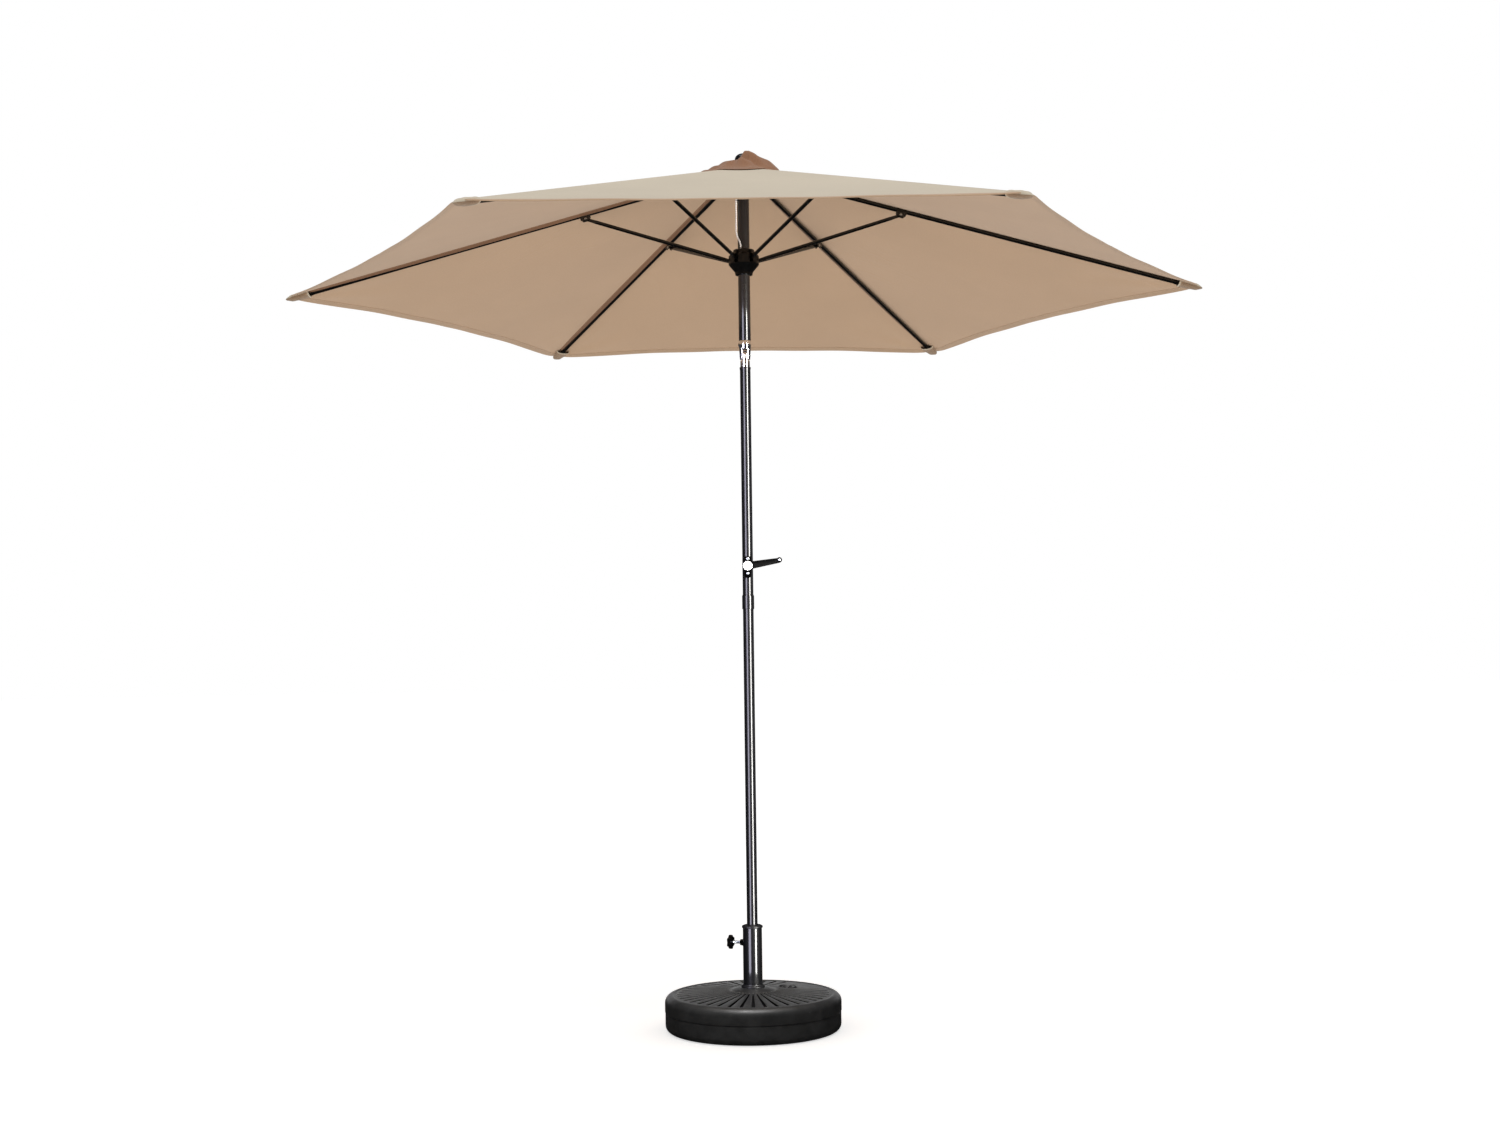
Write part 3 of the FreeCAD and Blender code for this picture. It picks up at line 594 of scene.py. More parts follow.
@cache
def enamel_badge():
    """Blank stove-enamelled aluminium disc: white, glossy, with the slight mottle of thick enamel."""
    return mottled("white_enamel", linear("#EDEDEA"), linear("#FAFAF8"), (4, 3), relief=((3, 2), 0.02),
                   Roughness=0.2, IOR=1.55, Coat_Weight=0.5, Coat_Roughness=0.05)


@cache
def plain_cord():
    """The lift cord on parts without a UV map: pale with dark flecks 2 mm long."""
    colours = bpy.context.scene.umbrella_colours
    return mottled("braided_polyester_inside", colours.cord_light[:], colours.cord_dark[:], (2, 1),
                   relief=((2, 1), 0.3), span=(0.5, 0.56), Roughness=0.8, IOR=1.5)


@cache
def braided_cord():
    """Braided polyester cord: pale strands with dark tracer strands, each about 1.2 mm wide, that cross.
    The pattern is turns round the cord and metres along it, and repeats every 12 mm."""
    colours = bpy.context.scene.umbrella_colours
    material, tree, shader = new_material("braided_polyester_cord", Roughness=0.8, IOR=1.5,
                                          Specular_IOR_Level=0.3)
    turns, metres, _ = add_node(tree, "SeparateXYZ", {"Vector": pattern_map(tree)}).outputs
    along = maths(tree, "MULTIPLY", metres, 2 * math.pi / 0.012)
    waves = [maths(tree, "SINE", maths(tree, "MULTIPLY_ADD", turns, hand * 4 * math.pi, along))
             for hand in (1, -1)]
    crossing = maths(tree, "MULTIPLY", *waves)
    tint = blend_colours(tree, crossing, colours.cord_light[:], colours.cord_dark[:], 0.02, 0.2)
    tree.links.new(tint, shader.inputs["Base Color"])
    raise_surface(tree, shader, crossing, 0.35)
    return material


def polyester(name, colour, darker, folds, stitches):
    """Woven 180 g polyester with a water-repellent finish: matt, softly mottled, plain weave, with the
    creases of its packing. Real threads are 0.4 mm apart, drawn at 2.4 mm so that the weave shows.
    The pattern is metres along and across the cloth. stitches gives the lines, in metres from the edge,
    where a sewing machine ran: 3 mm of thread and 1 mm of gap."""
    material, tree, shader = new_material(name, Roughness=0.85, IOR=1.45, Sheen_Weight=0.25,
                                          Sheen_Roughness=0.5, Specular_IOR_Level=0.25)
    flat = pattern_map(tree)
    along, across, _ = add_node(tree, "SeparateXYZ", {"Vector": flat}).outputs
    wide = texture_noise(tree, flat, 3.2, 3.0)
    both = maths(tree, "ADD", wide, texture_noise(tree, flat, 260.0, 2.0))
    tint = blend_colours(tree, both, shade(colour, darker), colour, 0.8, 1.25)
    threads = [maths(tree, "SINE", maths(tree, "MULTIPLY", way, 2 * math.pi / 0.0024))
               for way in (along, across)]
    # Creases from packing: thin lines where a stretched noise crosses its middle.
    long_way = add_node(tree, "Mapping", {"Vector": flat, "Scale": (9, 2.6, 1)}).outputs["Vector"]
    cloudy = texture_noise(tree, long_way, 1.0, 3.0, Distortion=0.6)
    near = maths(tree, "ABSOLUTE", maths(tree, "SUBTRACT", cloudy, 0.5))
    crease = maths(tree, "MULTIPLY", ramp(tree, near, 0, 0.035, 1, 0), ramp(tree, wide, 0.5, 0.62))
    height = maths(tree, "MULTIPLY_ADD", maths(tree, "MULTIPLY", *threads), 0.05, 0)
    height = maths(tree, "MULTIPLY_ADD", crease, folds, height)
    height = maths(tree, "MULTIPLY_ADD", texture_noise(tree, flat, 14.0, 2.0), 2.0 * folds, height)
    for line in stitches:
        away = maths(tree, "ABSOLUTE", maths(tree, "SUBTRACT", across, line))
        step = maths(tree, "ABSOLUTE", maths(tree, "MODULO", along, 0.004))
        thread = maths(tree, "MULTIPLY", maths(tree, "LESS_THAN", away, 0.0007),
                       maths(tree, "LESS_THAN", step, 0.003))
        tint = mix_colours(tree, thread, tint, shade(colour, 1.35))
        height = maths(tree, "MULTIPLY_ADD", thread, 1.5, height)
    tree.links.new(tint, shader.inputs["Base Color"])
    raise_surface(tree, shader, height, 0.5)
    return material


# Each part's colour setting and how much lighter it is, how dark its mottle gets, how deep its creases
# are, and its stitch lines.
CLOTHS = {
    "outer_face": ("cloth_top_painted_lit", 1, 0.93, 1.0, ()),        # painted paler: painted light falling on the top side
    "under_face": ("cloth_under", 1, 0.93, 1.0, ()),
    "hem": ("cloth_under", 0.92, 0.9, 0.4, (0.018,)),     # two layers, lockstitched
    "seam": ("cloth_seam_and_painted_shade", 1, 0.85, 0.5, (0.003,)),       # three layers; darker partly from the doubled cloth and partly as painted shade beside the rib
    "pocket": ("cloth_under", 0.72, 0.7, 1.2, (0.004,)),  # doubled and stitched along its mouth; darker, as painted shade under the pocket
    "binding": ("cloth_top_painted_lit", 1.08, 0.85, 0.2, ()),        # pale bias binding round a pocket's mouth
    "vent_cap": ("cloth_vent_painted_shade", 1, 0.8, 1.5, ()),          # loose and crumpled; darker brown as painted shade
}


@cache
def cloth(part):
    """The polyester of one part of the canopy."""
    setting, lighter, darker, folds, stitches = CLOTHS[part]
    colour = shade(getattr(bpy.context.scene.umbrella_colours, setting)[:], lighter)
    return polyester("polyester_" + part, colour, darker, folds, stitches)


# --- operators -----------------------------------------------------------------------------


class UMBRELLA_OT_base(bpy.types.Operator):
    """The filled base: grooved lid with its filler, and the lower shell"""

    bl_idname = "umbrella.base"
    bl_label = "Filled base"

    def execute(self, context):
        sizes = context.scene.umbrella_sizes
        self.lid(sizes.grooves, sizes.groove / MM)
        self.lower_shell()
        self.filler()
        return {"FINISHED"}

    def lid(self, grooves, depth):
        """The lid is a height over radius and azimuth. The deck is a shallow cone with a mound of
        exp(-((r - boss) / 22)^2) round the tube. The grooves are as wide as an angle, so they narrow
        inwards, and leave out the sector round the filler. The shoulder is a quarter ellipse, raised
        1.6 mm above the deck, and the wall goes down to the seam."""
        deck_edge, boss, shoulder_top, wall_top = BASE_RADIUS - 24, 34, 92, 74
        inmost, outmost = 58, 200  # the grooves' ends
        period = 2 * math.pi / grooves
        within = np.array([-0.5, -0.3, -0.19, -0.16, -0.148, -0.136, -0.124, -0.06, 0, 0.06, 0.124, 0.136,
                           0.148, 0.16, 0.19, 0.3])
        azimuth = np.append(((np.arange(grooves)[:, None] + within) * period).ravel(),
                            2 * math.pi * (1 - 0.5 / grooves))
        radius = np.concatenate([np.linspace(TUBE_RADIUS, boss, 4), np.linspace(37, 56, 8),
                                 np.linspace(inmost, 68, 8), np.linspace(72, 190, 30),
                                 np.linspace(192, outmost, 9), np.linspace(201.5, deck_edge, 4)])
        r, a = np.meshgrid(radius, azimuth, indexing="ij")
        deck = (shoulder_top + DECK_RISE * (deck_edge + 2 - r) / DECK_RUN
                + 6.7 * np.exp(-((r - boss) / 22) ** 2))
        off = np.abs((a / period + 0.5) % 1 - 0.5)
        groove = smooth((0.16 - off) / 0.036) * smooth((r - inmost) / 8) * smooth((outmost - r) / 5)
        from_filler = np.abs((a - FILLER_TURN + math.pi) % (2 * math.pi) - math.pi)
        groove *= smooth((from_filler - math.radians(19)) / math.radians(1.5))
        crown = 0.7 * np.cos(off * 2 * math.pi) * smooth((r - inmost) / 12) * smooth((outmost - r) / 12)
        deck = deck - depth * groove - crown * 0.6
        deck = np.where(r <= boss, BOSS_HEIGHT, deck)

        turn = np.linspace(0, math.pi / 2, 10)[1:]
        rise = np.array([0.15, 0.7, 1.3, 1.6])
        bead = np.stack([deck_edge + np.array([0.6, 1.6, 3.0, 4.4]), shoulder_top + rise], 1)
        crest = bead[-1]
        bend = np.stack([crest[0] + (BASE_RADIUS - crest[0]) * np.sin(turn),
                         wall_top + (crest[1] - wall_top) * np.cos(turn)], 1)
        lip = rounded([(BASE_RADIUS, wall_top - 1), (BASE_RADIUS, SEAM_HEIGHT),
                       (BASE_RADIUS - 4, SEAM_HEIGHT)], [1.6])
        inside = [(BASE_RADIUS - 4.6, SEAM_HEIGHT - 8), (BASE_RADIUS - 8, SEAM_HEIGHT - 8),
                  (BASE_RADIUS - 8, wall_top - 8), (BASE_RADIUS - 16, 81), (deck_edge, 82),
                  (100, 88.4), (68, 90.5), (44, 98), (30, 100), (30, 80), (TUBE_RADIUS, 80),
                  (TUBE_RADIUS, BOSS_HEIGHT)]
        profile = np.concatenate([bead, bend, lip, inside])
        rest = polar(profile[:, :1], azimuth, profile[:, 1:])
        grid = np.concatenate([polar(r, a, deck), rest])
        depths = np.stack([groove, r * MM], -1)
        worn = np.concatenate([depths, np.zeros(rest.shape[:2] + (2,))])
        lid = add_piece("base_lid", [grid], [moulded_base()], "stand", "base_top_shell", ["base_top_shell"],
                        sharp=32, patterns=[worn])
        filler = around(FILLER_TURN) @ shift(FILLER_REACH)
        carve(lid, [turned([(0, 84), (23, 84), (23, 120), (0, 120)], filler)])

    def lower_shell(self):
        """The lower shell is turned: a wall with a 17 mm round at its foot and a post in the middle."""
        radius = BASE_RADIUS - 1
        outline = ring_outline([
            (5, 18), (5, 14), (14, 14), (14, 0), (radius, 0), (radius, SEAM_HEIGHT),
            (radius - 3.5, SEAM_HEIGHT), (radius - 3.5, 14), (radius - 16, 3.5), (17.5, 3.5), (17.5, 18),
        ], [0, 0, 1, 2, 17, 1.4, 0.6, 3, 3, 2, 1], 7)
        add_piece("base_lower_shell", [turned(outline, segments=128)], [moulded_base()], "stand",
                  "base_bottom_shell", ["base_bottom_shell"])

    def filler(self):
        """The filler: a well under the lid, a bead round its mouth that follows the deck, and its cap."""
        place = around(FILLER_TURN) @ shift(FILLER_REACH)
        well = ring_outline([(15.2, 84), (26.5, 84), (26.5, 96), (23, 96), (23, FILLER_FLOOR),
                             (15.2, FILLER_FLOOR)], [1, 1, 0.3, 0.3, 0.8, 0.6])
        add_piece("filler_well", [turned(well, place)], [moulded_base()], "stand", "base_top_shell")
        tilt = shift(z=98.2) @ Matrix.Rotation(math.atan(DECK_RISE / DECK_RUN), 4, "Y")
        bead = circle(1.5) + (24, 0)
        add_piece("filler_bead", [turned(bead, place @ tilt)], [moulded_base()], "stand", "base_top_shell")
        floor = FILLER_FLOOR + 0.1
        cap = rounded([(0, floor - 9), (13, floor - 9), (15, floor - 9), (15, floor), (19, floor),
                       (19, floor + 3), (16.5, floor + 4), (13, floor + 4), (12, floor + 2.6),
                       (0, floor + 2.6)], [0, 1, 0.3, 0.4, 1.2, 1.5, 0.6, 0.8])
        grip = ring_outline([(-9.5, -1.6), (9.5, -1.6), (9.5, 1.6), (-9.5, 1.6)], [1.5] * 4)
        handle = pressed(grip, [(0, floor + 2), (0, floor + 3.4), (0.5, floor + 3.9)], place)
        add_piece("filler_cap_moulding", [turned(cap, place), handle], [moulded_nylon()], "filler_cap",
                  "filler_cap", ["filler_cap"])


class UMBRELLA_OT_stand_tube(bpy.types.Operator):
    """The stand tube with its foot ring, collar and clamping screw"""

    bl_idname = "umbrella.stand_tube"
    bl_label = "Stand tube and lock"

    def execute(self, context):
        wall = 1.8
        tube = ring_outline([(TUBE_RADIUS - wall, TUBE_LOW), (TUBE_RADIUS, TUBE_LOW),
                             (TUBE_RADIUS, TUBE_TOP), (TUBE_RADIUS - wall, TUBE_TOP)], [0.3] * 4)
        add_piece("stand_tube_coated", [turned(tube)], [powder_coat()], "stand", "stand_tube",
                  ["stand_tube"])
        foot = ring_outline([(TUBE_RADIUS, FOOT_LOW), (FOOT_RADIUS, FOOT_LOW),
                             (FOOT_RADIUS, FOOT_LOW + 3.5), (TUBE_RADIUS + 1.6, FOOT_TOP - 2),
                             (TUBE_RADIUS + 1.2, FOOT_TOP), (TUBE_RADIUS, FOOT_TOP)],
                            [0, 0.6, 1.4, 2, 0.4, 0])
        add_piece("tube_foot_ring", [turned(foot)], [moulded_nylon()], "stand", "tube_foot", ["tube_foot"])
        bore = POLE_RADIUS + 0.1
        collar = ring_outline([
            (bore, TUBE_TOP - 24), (TUBE_RADIUS - wall, TUBE_TOP - 24), (TUBE_RADIUS - wall, TUBE_TOP),
            (COLLAR_RADIUS, TUBE_TOP), (COLLAR_RADIUS, COLLAR_TOP - 2.6), (COLLAR_RADIUS - 6, COLLAR_TOP),
            (bore, COLLAR_TOP)], [0, 0, 0, 1.2, 2.2, 4, 1.2])
        add_piece("collar_moulding", [turned(collar)], [moulded_nylon()], "stand", "tube_collar",
                  ["tube_collar"])
        self.lock()
        return {"FINISHED"}

    def lock(self):
        """Everything on the lock's axis is turned about it: the welded nut flares into the tube, and the
        screw's radius drops by a 0.65 mm triangle wave that advances one pitch a turn. The knob is
        a disc whose radius swells six times."""
        place = around(LOCK_TURN) @ shift(z=LOCK_HEIGHT) @ SIDEWAYS
        nut = ring_outline([(4, 24.2), (12, 23.2), (8.2, 27), (8, 33), (4, 33)], [0, 0.5, 3, 1, 0.4])
        add_piece("lock_nut_welded", [turned(nut, place, 48)], [powder_coat()], "stand", "lock_nut",
                  ["lock_nut"])
        near, far, pitch = 17.4, 59.4, 1.25
        angle = np.linspace(0, 2 * math.pi, 25)
        length = np.linspace(near, far, int((far - near) / pitch * 7))[:, None]
        wave = np.abs(2 * ((length / pitch - angle / (2 * math.pi)) % 1) - 1)
        radius = 3.9 - 0.65 * wave * smooth((length - near) / 1) * smooth((far - length) / 1)
        thread = capped(polar(radius, angle, length), (0, 0, near), (0, 0, far))
        add_piece("lock_screw_thread", [moved(thread, place)], [zinc_plate()], "lock_knob", "lock_screw",
                  ["lock_screw"])
        near, far = 53.5, 66.5
        angle = np.linspace(0, 2 * math.pi, 97)[:-1]
        lobed = 16.6 + 1.9 * np.cos(6 * angle)
        outline = np.stack([lobed * np.cos(angle), lobed * np.sin(angle)], 1)
        rows = [(9, near + 0.2), (8.4, near + 0.1), (3, near + 2), (1, near + 2.2), (0.2, near + 3),
                (0, near + 4), (0, far - 3.4), (0.4, far - 1.8), (1.5, far - 0.7), (3.2, far - 0.2),
                (6, far), (9, far - 0.6), (10, far - 1.4)]
        add_piece("lock_knob_moulding", [pressed(outline, rows, place)], [moulded_nylon()], "lock_knob",
                  "lock_knob", ["lock_knob"])


class UMBRELLA_OT_poles(bpy.types.Operator):
    """The lower, middle and upper pole"""

    bl_idname = "umbrella.poles"
    bl_label = "Poles"

    def execute(self, context):
        inner = POLE_RADIUS - POLE_WALL
        low, high = LOWER_POLE
        lower = ring_outline([(inner, low), (POLE_RADIUS, low), (POLE_RADIUS, high), (inner, high)],
                             [0.3] * 4)
        add_piece("lower_pole_tube", [turned(lower)], [powder_coat()], "mast_lower", "lower_pole",
                  ["lower_pole"])
        # The middle pole's foot is swaged out over the lower pole, and its mouth is rolled to a bead.
        swage = SLEEVE_LOW + 34
        middle = ring_outline([
            (POLE_RADIUS + 0.05, SLEEVE_LOW), (SLEEVE_RADIUS, SLEEVE_LOW), (SLEEVE_RADIUS, swage),
            (POLE_RADIUS, swage + 5), (POLE_RADIUS, MIDDLE_TOP - 7), (POLE_RADIUS + 0.7, MIDDLE_TOP - 5),
            (POLE_RADIUS + 0.7, MIDDLE_TOP), (inner, MIDDLE_TOP), (inner, swage + 5),
            (POLE_RADIUS + 0.05, swage)], [0.3, 0.9, 5, 5, 2, 1.2, 1.6, 0.4, 1, 1], 6)
        add_piece("middle_pole_tube", [turned(middle)], [powder_coat()], "mast_lower", "middle_pole",
                  ["middle_pole"])
        low, high = UPPER_POLE
        upper = ring_outline([(UPPER_RADIUS - 1.4, low), (UPPER_RADIUS, low), (UPPER_RADIUS, high),
                              (UPPER_RADIUS - 1.4, high)], [0.4] * 4)
        tube = add_piece("upper_pole_tube", [turned(upper)], [powder_coat()], "mast_upper", "upper_pole",
                         ["upper_pole"])
        slot = ring_outline([(-15, -4), (16, -4), (16, 4), (-15, 4)], [3.9] * 4)[:-1]
        carve(tube, [pressed(slot, [(0, 6), (0, 30)],
                             around(PULLEY_TURN) @ shift(z=PULLEY_HEIGHT) @ SIDEWAYS)])
        return {"FINISHED"}


class UMBRELLA_OT_crank(bpy.types.Operator):
    """The crank: riveted housing, lever, blank badge and free knob"""

    bl_idname = "umbrella.crank"
    bl_label = "Crank"

    def execute(self, context):
        axis = shift(z=CRANK_HEIGHT) @ FORWARD
        half, front = 8.75, 19
        up, down = HOUSING_HIGH - CRANK_HEIGHT, CRANK_HEIGHT - HOUSING_LOW
        plate = ring_outline([(-half, -down), (half, -down), (half, up), (-half, up)],
                             [8, 8, 2.5, 2.5], 8)[:-1]
        body = pressed(plate, [(0, 6), (0, front - 1.6), (0.5, front - 0.5), (1.6, front)], axis)
        boss = turned(rounded([(0, 6), (13.8, 6), (13.8, front + 2), (0, front + 2)], [0, 1]), axis)
        add_piece("crank_housing_moulding", [body, boss], [moulded_nylon()], "mast_lower", "crank_housing",
                  ["crank_housing"])
        heads = []
        for side in (19, -19):
            place = axis @ shift(y=side)
            head = rounded([(0, 12.9), (2, 12.9), (2, front), (3.7, front), (3.5, front + 1.2),
                            (1.8, front + 1.9), (0, front + 2)], [0, 0, 0.3, 0.8, 2])
            heads.append(turned(head, place, 32))
        add_piece("housing_rivet_heads", heads, [zinc_plate()], "mast_lower", "housing_rivets",
                  ["housing_rivets"])
        self.lever(axis @ Matrix.Rotation(math.radians(9), 4, "Z"))
        return {"FINISHED"}

    def lever(self, way):
        """The lever's outline is two tangents between its hub and its rounded end, with a raised rim."""
        reach, back, front = 84, 23, BADGE_FRONT - 1.4
        turn = np.linspace(-math.pi / 2, math.pi / 2, 13)
        end = np.stack([reach + 6.3 * np.cos(turn), 6.3 * np.sin(turn)], 1)
        root = np.array([[0, 10.3], [0, -10.3]])
        outline = np.concatenate([root[1:], np.linspace((8, -10.1), (reach - 6, -6.8), 8), end,
                                  np.linspace((reach - 6, 6.8), (8, 10.1), 8), root[:1]])
        rows = [(0.8, back), (0, back + 0.8), (0, front - 1.2), (0.35, front - 0.5), (1, front - 0.2),
                (2.0, front - 0.3), (2.4, front - 1.5), (3.2, front - 1.7)]
        hub = rounded([(0, back - 1.8), (13.8, back - 1.8), (13.8, front), (12.6, front), (12.6, front - 1),
                       (0, front - 1)], [0.8, 0.9, 0.4, 0.2])
        add_piece("crank_lever", [pressed(outline, rows, way), turned(hub, way)], [moulded_nylon()],
                  "crank", "crank_arm", ["crank_arm"])
        edge = BADGE_RADIUS - 0.5
        badge = rounded([(0, front - 1), (edge, front - 1), (edge, front + 0.7),
                         (edge - 1.4, front + 1.2), (0, front + 1.4)], [0, 0.5, 1.2])
        add_piece("crank_badge_blank", [turned(badge, way)], [enamel_badge()], "crank", "crank_badge",
                  ["crank_badge"])
        grip_way = way @ shift(reach)
        far = 60
        knob = ring_outline([(2.1, front + 0.2), (5, front + 0.2), (5.2, front + 6), (6.8, far - 10),
                             (6.8, far - 3.4), (5.2, far - 0.1), (2.1, far - 0.1)],
                            [0, 1, 3, 5, 3, 1.6, 0.3])
        add_piece("crank_knob", [turned(knob, grip_way, 40)], [moulded_nylon()], "crank_grip", "crank_grip",
                  ["crank_grip"])
        pin = rounded([(0, back), (2, back), (2, far), (3.2, far), (3, far + 0.8), (1.6, far + 1.2),
                       (0, far + 1.2)], [0, 0, 0.2, 0.5, 1.5])
        add_piece("grip_rivet", [turned(pin, grip_way, 32)], [zinc_plate()], "crank", "grip_pin",
                  ["grip_pin"])


class UMBRELLA_OT_tilt_joint(bpy.types.Operator):
    """The push-button tilt joint between the middle and the upper pole"""

    bl_idname = "umbrella.tilt_joint"
    bl_label = "Tilt joint"

    def execute(self, context):
        self.knuckle()
        self.sleeve()
        self.fittings()
        return {"FINISHED"}

    def knuckle(self):
        """The knuckle is a round bar that a slot's width flattens: x is held between the ears, and above
        the pin the front and back follow a circle about it."""
        round_low = MIDDLE_TOP + 15
        collar = rounded([(0, MIDDLE_TOP - 30), (POLE_RADIUS - POLE_WALL, MIDDLE_TOP - 30),
                          (POLE_RADIUS - POLE_WALL, MIDDLE_TOP), (12.5, MIDDLE_TOP), (12.5, round_low + 1),
                          (11.6, round_low + 3), (0, round_low + 3)], [0, 0, 0, 1, 1, 0.5])
        angle = np.linspace(0, 2 * math.pi, 65)
        turn = np.linspace(0, math.pi / 2, 14)[1:]
        lift = np.concatenate([np.linspace(round_low, TILT_HEIGHT, 12),
                               TILT_HEIGHT + TILT_EYE * np.sin(turn)])[:, None]
        depth = np.sqrt(np.maximum(TILT_EYE ** 2 - np.maximum(lift - TILT_HEIGHT, 0) ** 2, 0))
        x = np.clip(TILT_EYE * np.cos(angle), -5.5, 5.5) + 0 * lift
        y = np.clip(TILT_EYE * np.sin(angle), -depth, depth)
        tongue = np.stack([x, y, lift + 0 * angle], -1)
        tongue = capped(tongue, (0, 0, round_low), (0, 0, TILT_HEIGHT + TILT_EYE))
        add_piece("tilt_knuckle_casting", [turned(collar), tongue], [chrome_plate()], "mast_lower",
                  "tilt_knuckle", ["tilt_knuckle"])

    def sleeve(self):
        """The sleeve tapers from the upper pole down to the pin. Its ears are what is left of the taper
        outside the slot, and below the pin they follow a circle about it."""
        slot_half, shoulder = 5.8, 1784
        taper_low, taper_high = TILT_HEIGHT - 14, shoulder + 8
        pole_foot = UPPER_POLE[0]
        collar = rounded([(0, shoulder), (12, shoulder), (15.3, shoulder + 1),
                          (UPPER_RADIUS, shoulder + 12), (UPPER_RADIUS, pole_foot), (14.6, pole_foot),
                          (14.6, pole_foot + 30), (0, pole_foot + 30)], [0, 1, 6, 0.3, 0, 0])
        patches = [turned(collar)]
        angle = np.linspace(0, 2 * math.pi, 49)
        turn = np.linspace(-math.pi / 2, 0, 12)[:-1]
        lift = np.concatenate([TILT_HEIGHT + TILT_EYE * np.sin(turn),
                               np.linspace(TILT_HEIGHT, shoulder + 4, 12)])[:, None]
        radius = 13.3 + (15.9 - 13.3) * (lift - taper_low) / (taper_high - taper_low)
        below = np.minimum(lift - TILT_HEIGHT, 0)
        depth = np.sqrt(np.maximum(TILT_EYE ** 2 - below ** 2, 0))
        chord = np.sqrt(radius ** 2 - slot_half ** 2)
        for side in (1, -1):
            x = np.maximum(radius * np.cos(angle), slot_half)
            limit = np.minimum(np.where(x > slot_half, depth + 0 * x, chord + 0 * x), depth + 0 * x)
            y = np.clip(radius * np.sin(angle), -limit, limit)
            ear = np.stack([side * x, y, lift + 0 * angle], -1)
            patches.append(capped(ear, (side * 9, 0, lift[0, 0]), (side * 9, 0, lift[-1, 0])))
        add_piece("tilt_sleeve_casting", patches, [chrome_plate()], "mast_upper", "tilt_sleeve",
                  ["tilt_sleeve"])

    def fittings(self):
        """The button, a dark ring round it, and the two pin heads, all turned about X."""
        left = shift(z=BUTTON_HEIGHT) @ Matrix.Rotation(math.radians(-90), 4, "Y")
        button = rounded([(0, 9.2), (4, 9.2), (4, 15.7), (3, 17.4), (0, 17.8)], [0.2, 1.2, 1.5])
        add_piece("tilt_push_button", [turned(button, left, 40)], [moulded_nylon()], "tilt_button",
                  "tilt_button", ["tilt_button"])
        ring = ring_outline([(4.2, 14), (6.2, 14), (6, 16.2), (4.2, 16.4)], [0, 0, 0.5, 0.4])
        add_piece("tilt_button_ring", [turned(ring, left, 40)], [moulded_nylon()], "mast_upper",
                  "tilt_sleeve")
        heads = []
        for side in (1, -1):
            place = shift(z=TILT_HEIGHT) @ Matrix.Rotation(math.radians(90 * side), 4, "Y")
            head = rounded([(0, 3.5), (3, 3.5), (3, 13.2), (4.6, 13.2), (4.4, 14), (2, 14.8), (0, 14.9)],
                           [0, 0, 0.3, 0.5, 2])
            heads.append(turned(head, place, 36))
        add_piece("tilt_pin_heads", heads, [zinc_plate()], "mast_upper", "tilt_pins", ["tilt_pins"])


class UMBRELLA_OT_hub(bpy.types.Operator):
    """The rib hub and the finial"""

    bl_idname = "umbrella.hub"
    bl_label = "Hub and finial"

    def execute(self, context):
        outline = rounded([(0, UPPER_POLE[1]), (UPPER_RADIUS, UPPER_POLE[1]), (UPPER_RADIUS, HUB_LOW),
                           (24, HUB_LOW), (HUB_RADIUS - 3, HUB_LOW + 7), (HUB_RADIUS, HUB_LOW + 12),
                           (HUB_RADIUS, HUB_TOP - 5), (HUB_RADIUS - 8, HUB_TOP), (0, HUB_TOP)],
                          [0, 1, 2, 4, 3, 3, 4])
        hub = add_piece("hub_moulding", [turned(outline, segments=96)], [moulded_nylon()], "mast_upper",
                        "top_hub", ["top_hub"])
        carve(hub, rib_slots(PIVOT_HEIGHT - 30, HUB_TOP - 6))
        neck, dome = VENT_TOP + 0.2, FINIAL_TOP - VENT_TOP
        turn = np.linspace(0, math.pi / 2, 16)
        crown = np.stack([20.6 * np.cos(turn), neck + 5 + (dome - 5.2) * np.sin(turn)], 1)
        stem = rounded([(0, HUB_TOP), (8.5, HUB_TOP), (8.5, neck), (19, neck), (21, neck + 2.4), crown[0]],
                       [0, 0.6, 1.5, 1.6])
        add_piece("finial_knob", [turned(np.concatenate([stem, crown[1:]]))], [powder_coat()], "mast_upper",
                  "finial", ["finial"])
        return {"FINISHED"}


def rib_slots(low, high):
    """Six radial cutting blocks, one under each rib."""
    return [cutting_block((22, -5.5, low), (60, 5.5, high), around(math.radians(60 * k)))
            for k in range(RIBS)]


class UMBRELLA_OT_runner(bpy.types.Operator):
    """The runner: a slotted ring over a flared cup"""

    bl_idname = "umbrella.runner"
    bl_label = "Runner"

    def execute(self, context):
        bore = UPPER_RADIUS + 0.3
        outline = ring_outline([
            (bore, RUNNER_LOW), (23, RUNNER_LOW), (23.4, RUNNER_LOW + 4), (25, RUNNER_LOW + 9),
            (38.5, RUNNER_LOW + 25), (RUNNER_RADIUS, RUNNER_LOW + 28), (RUNNER_RADIUS, RUNNER_LOW + 50),
            (RUNNER_RADIUS - 4, RUNNER_LOW + 54), (30, RUNNER_LOW + 56), (28, RUNNER_HIGH),
            (bore, RUNNER_HIGH)], [0.4, 1.2, 1.5, 8, 3, 1.5, 2.5, 2, 3, 1.5, 0.4], 6)
        runner = add_piece("runner_moulding", [turned(outline, segments=96)], [moulded_nylon()], "runner",
                           "runner", ["runner"])
        carve(runner, rib_slots(RUNNER_PIVOT - 8, RUNNER_HIGH + 10))
        return {"FINISHED"}


def rib_turn(number):
    """The turn about the pole that carries rib 1 to a numbered rib."""
    return around(math.radians(60 * (number - 1)))


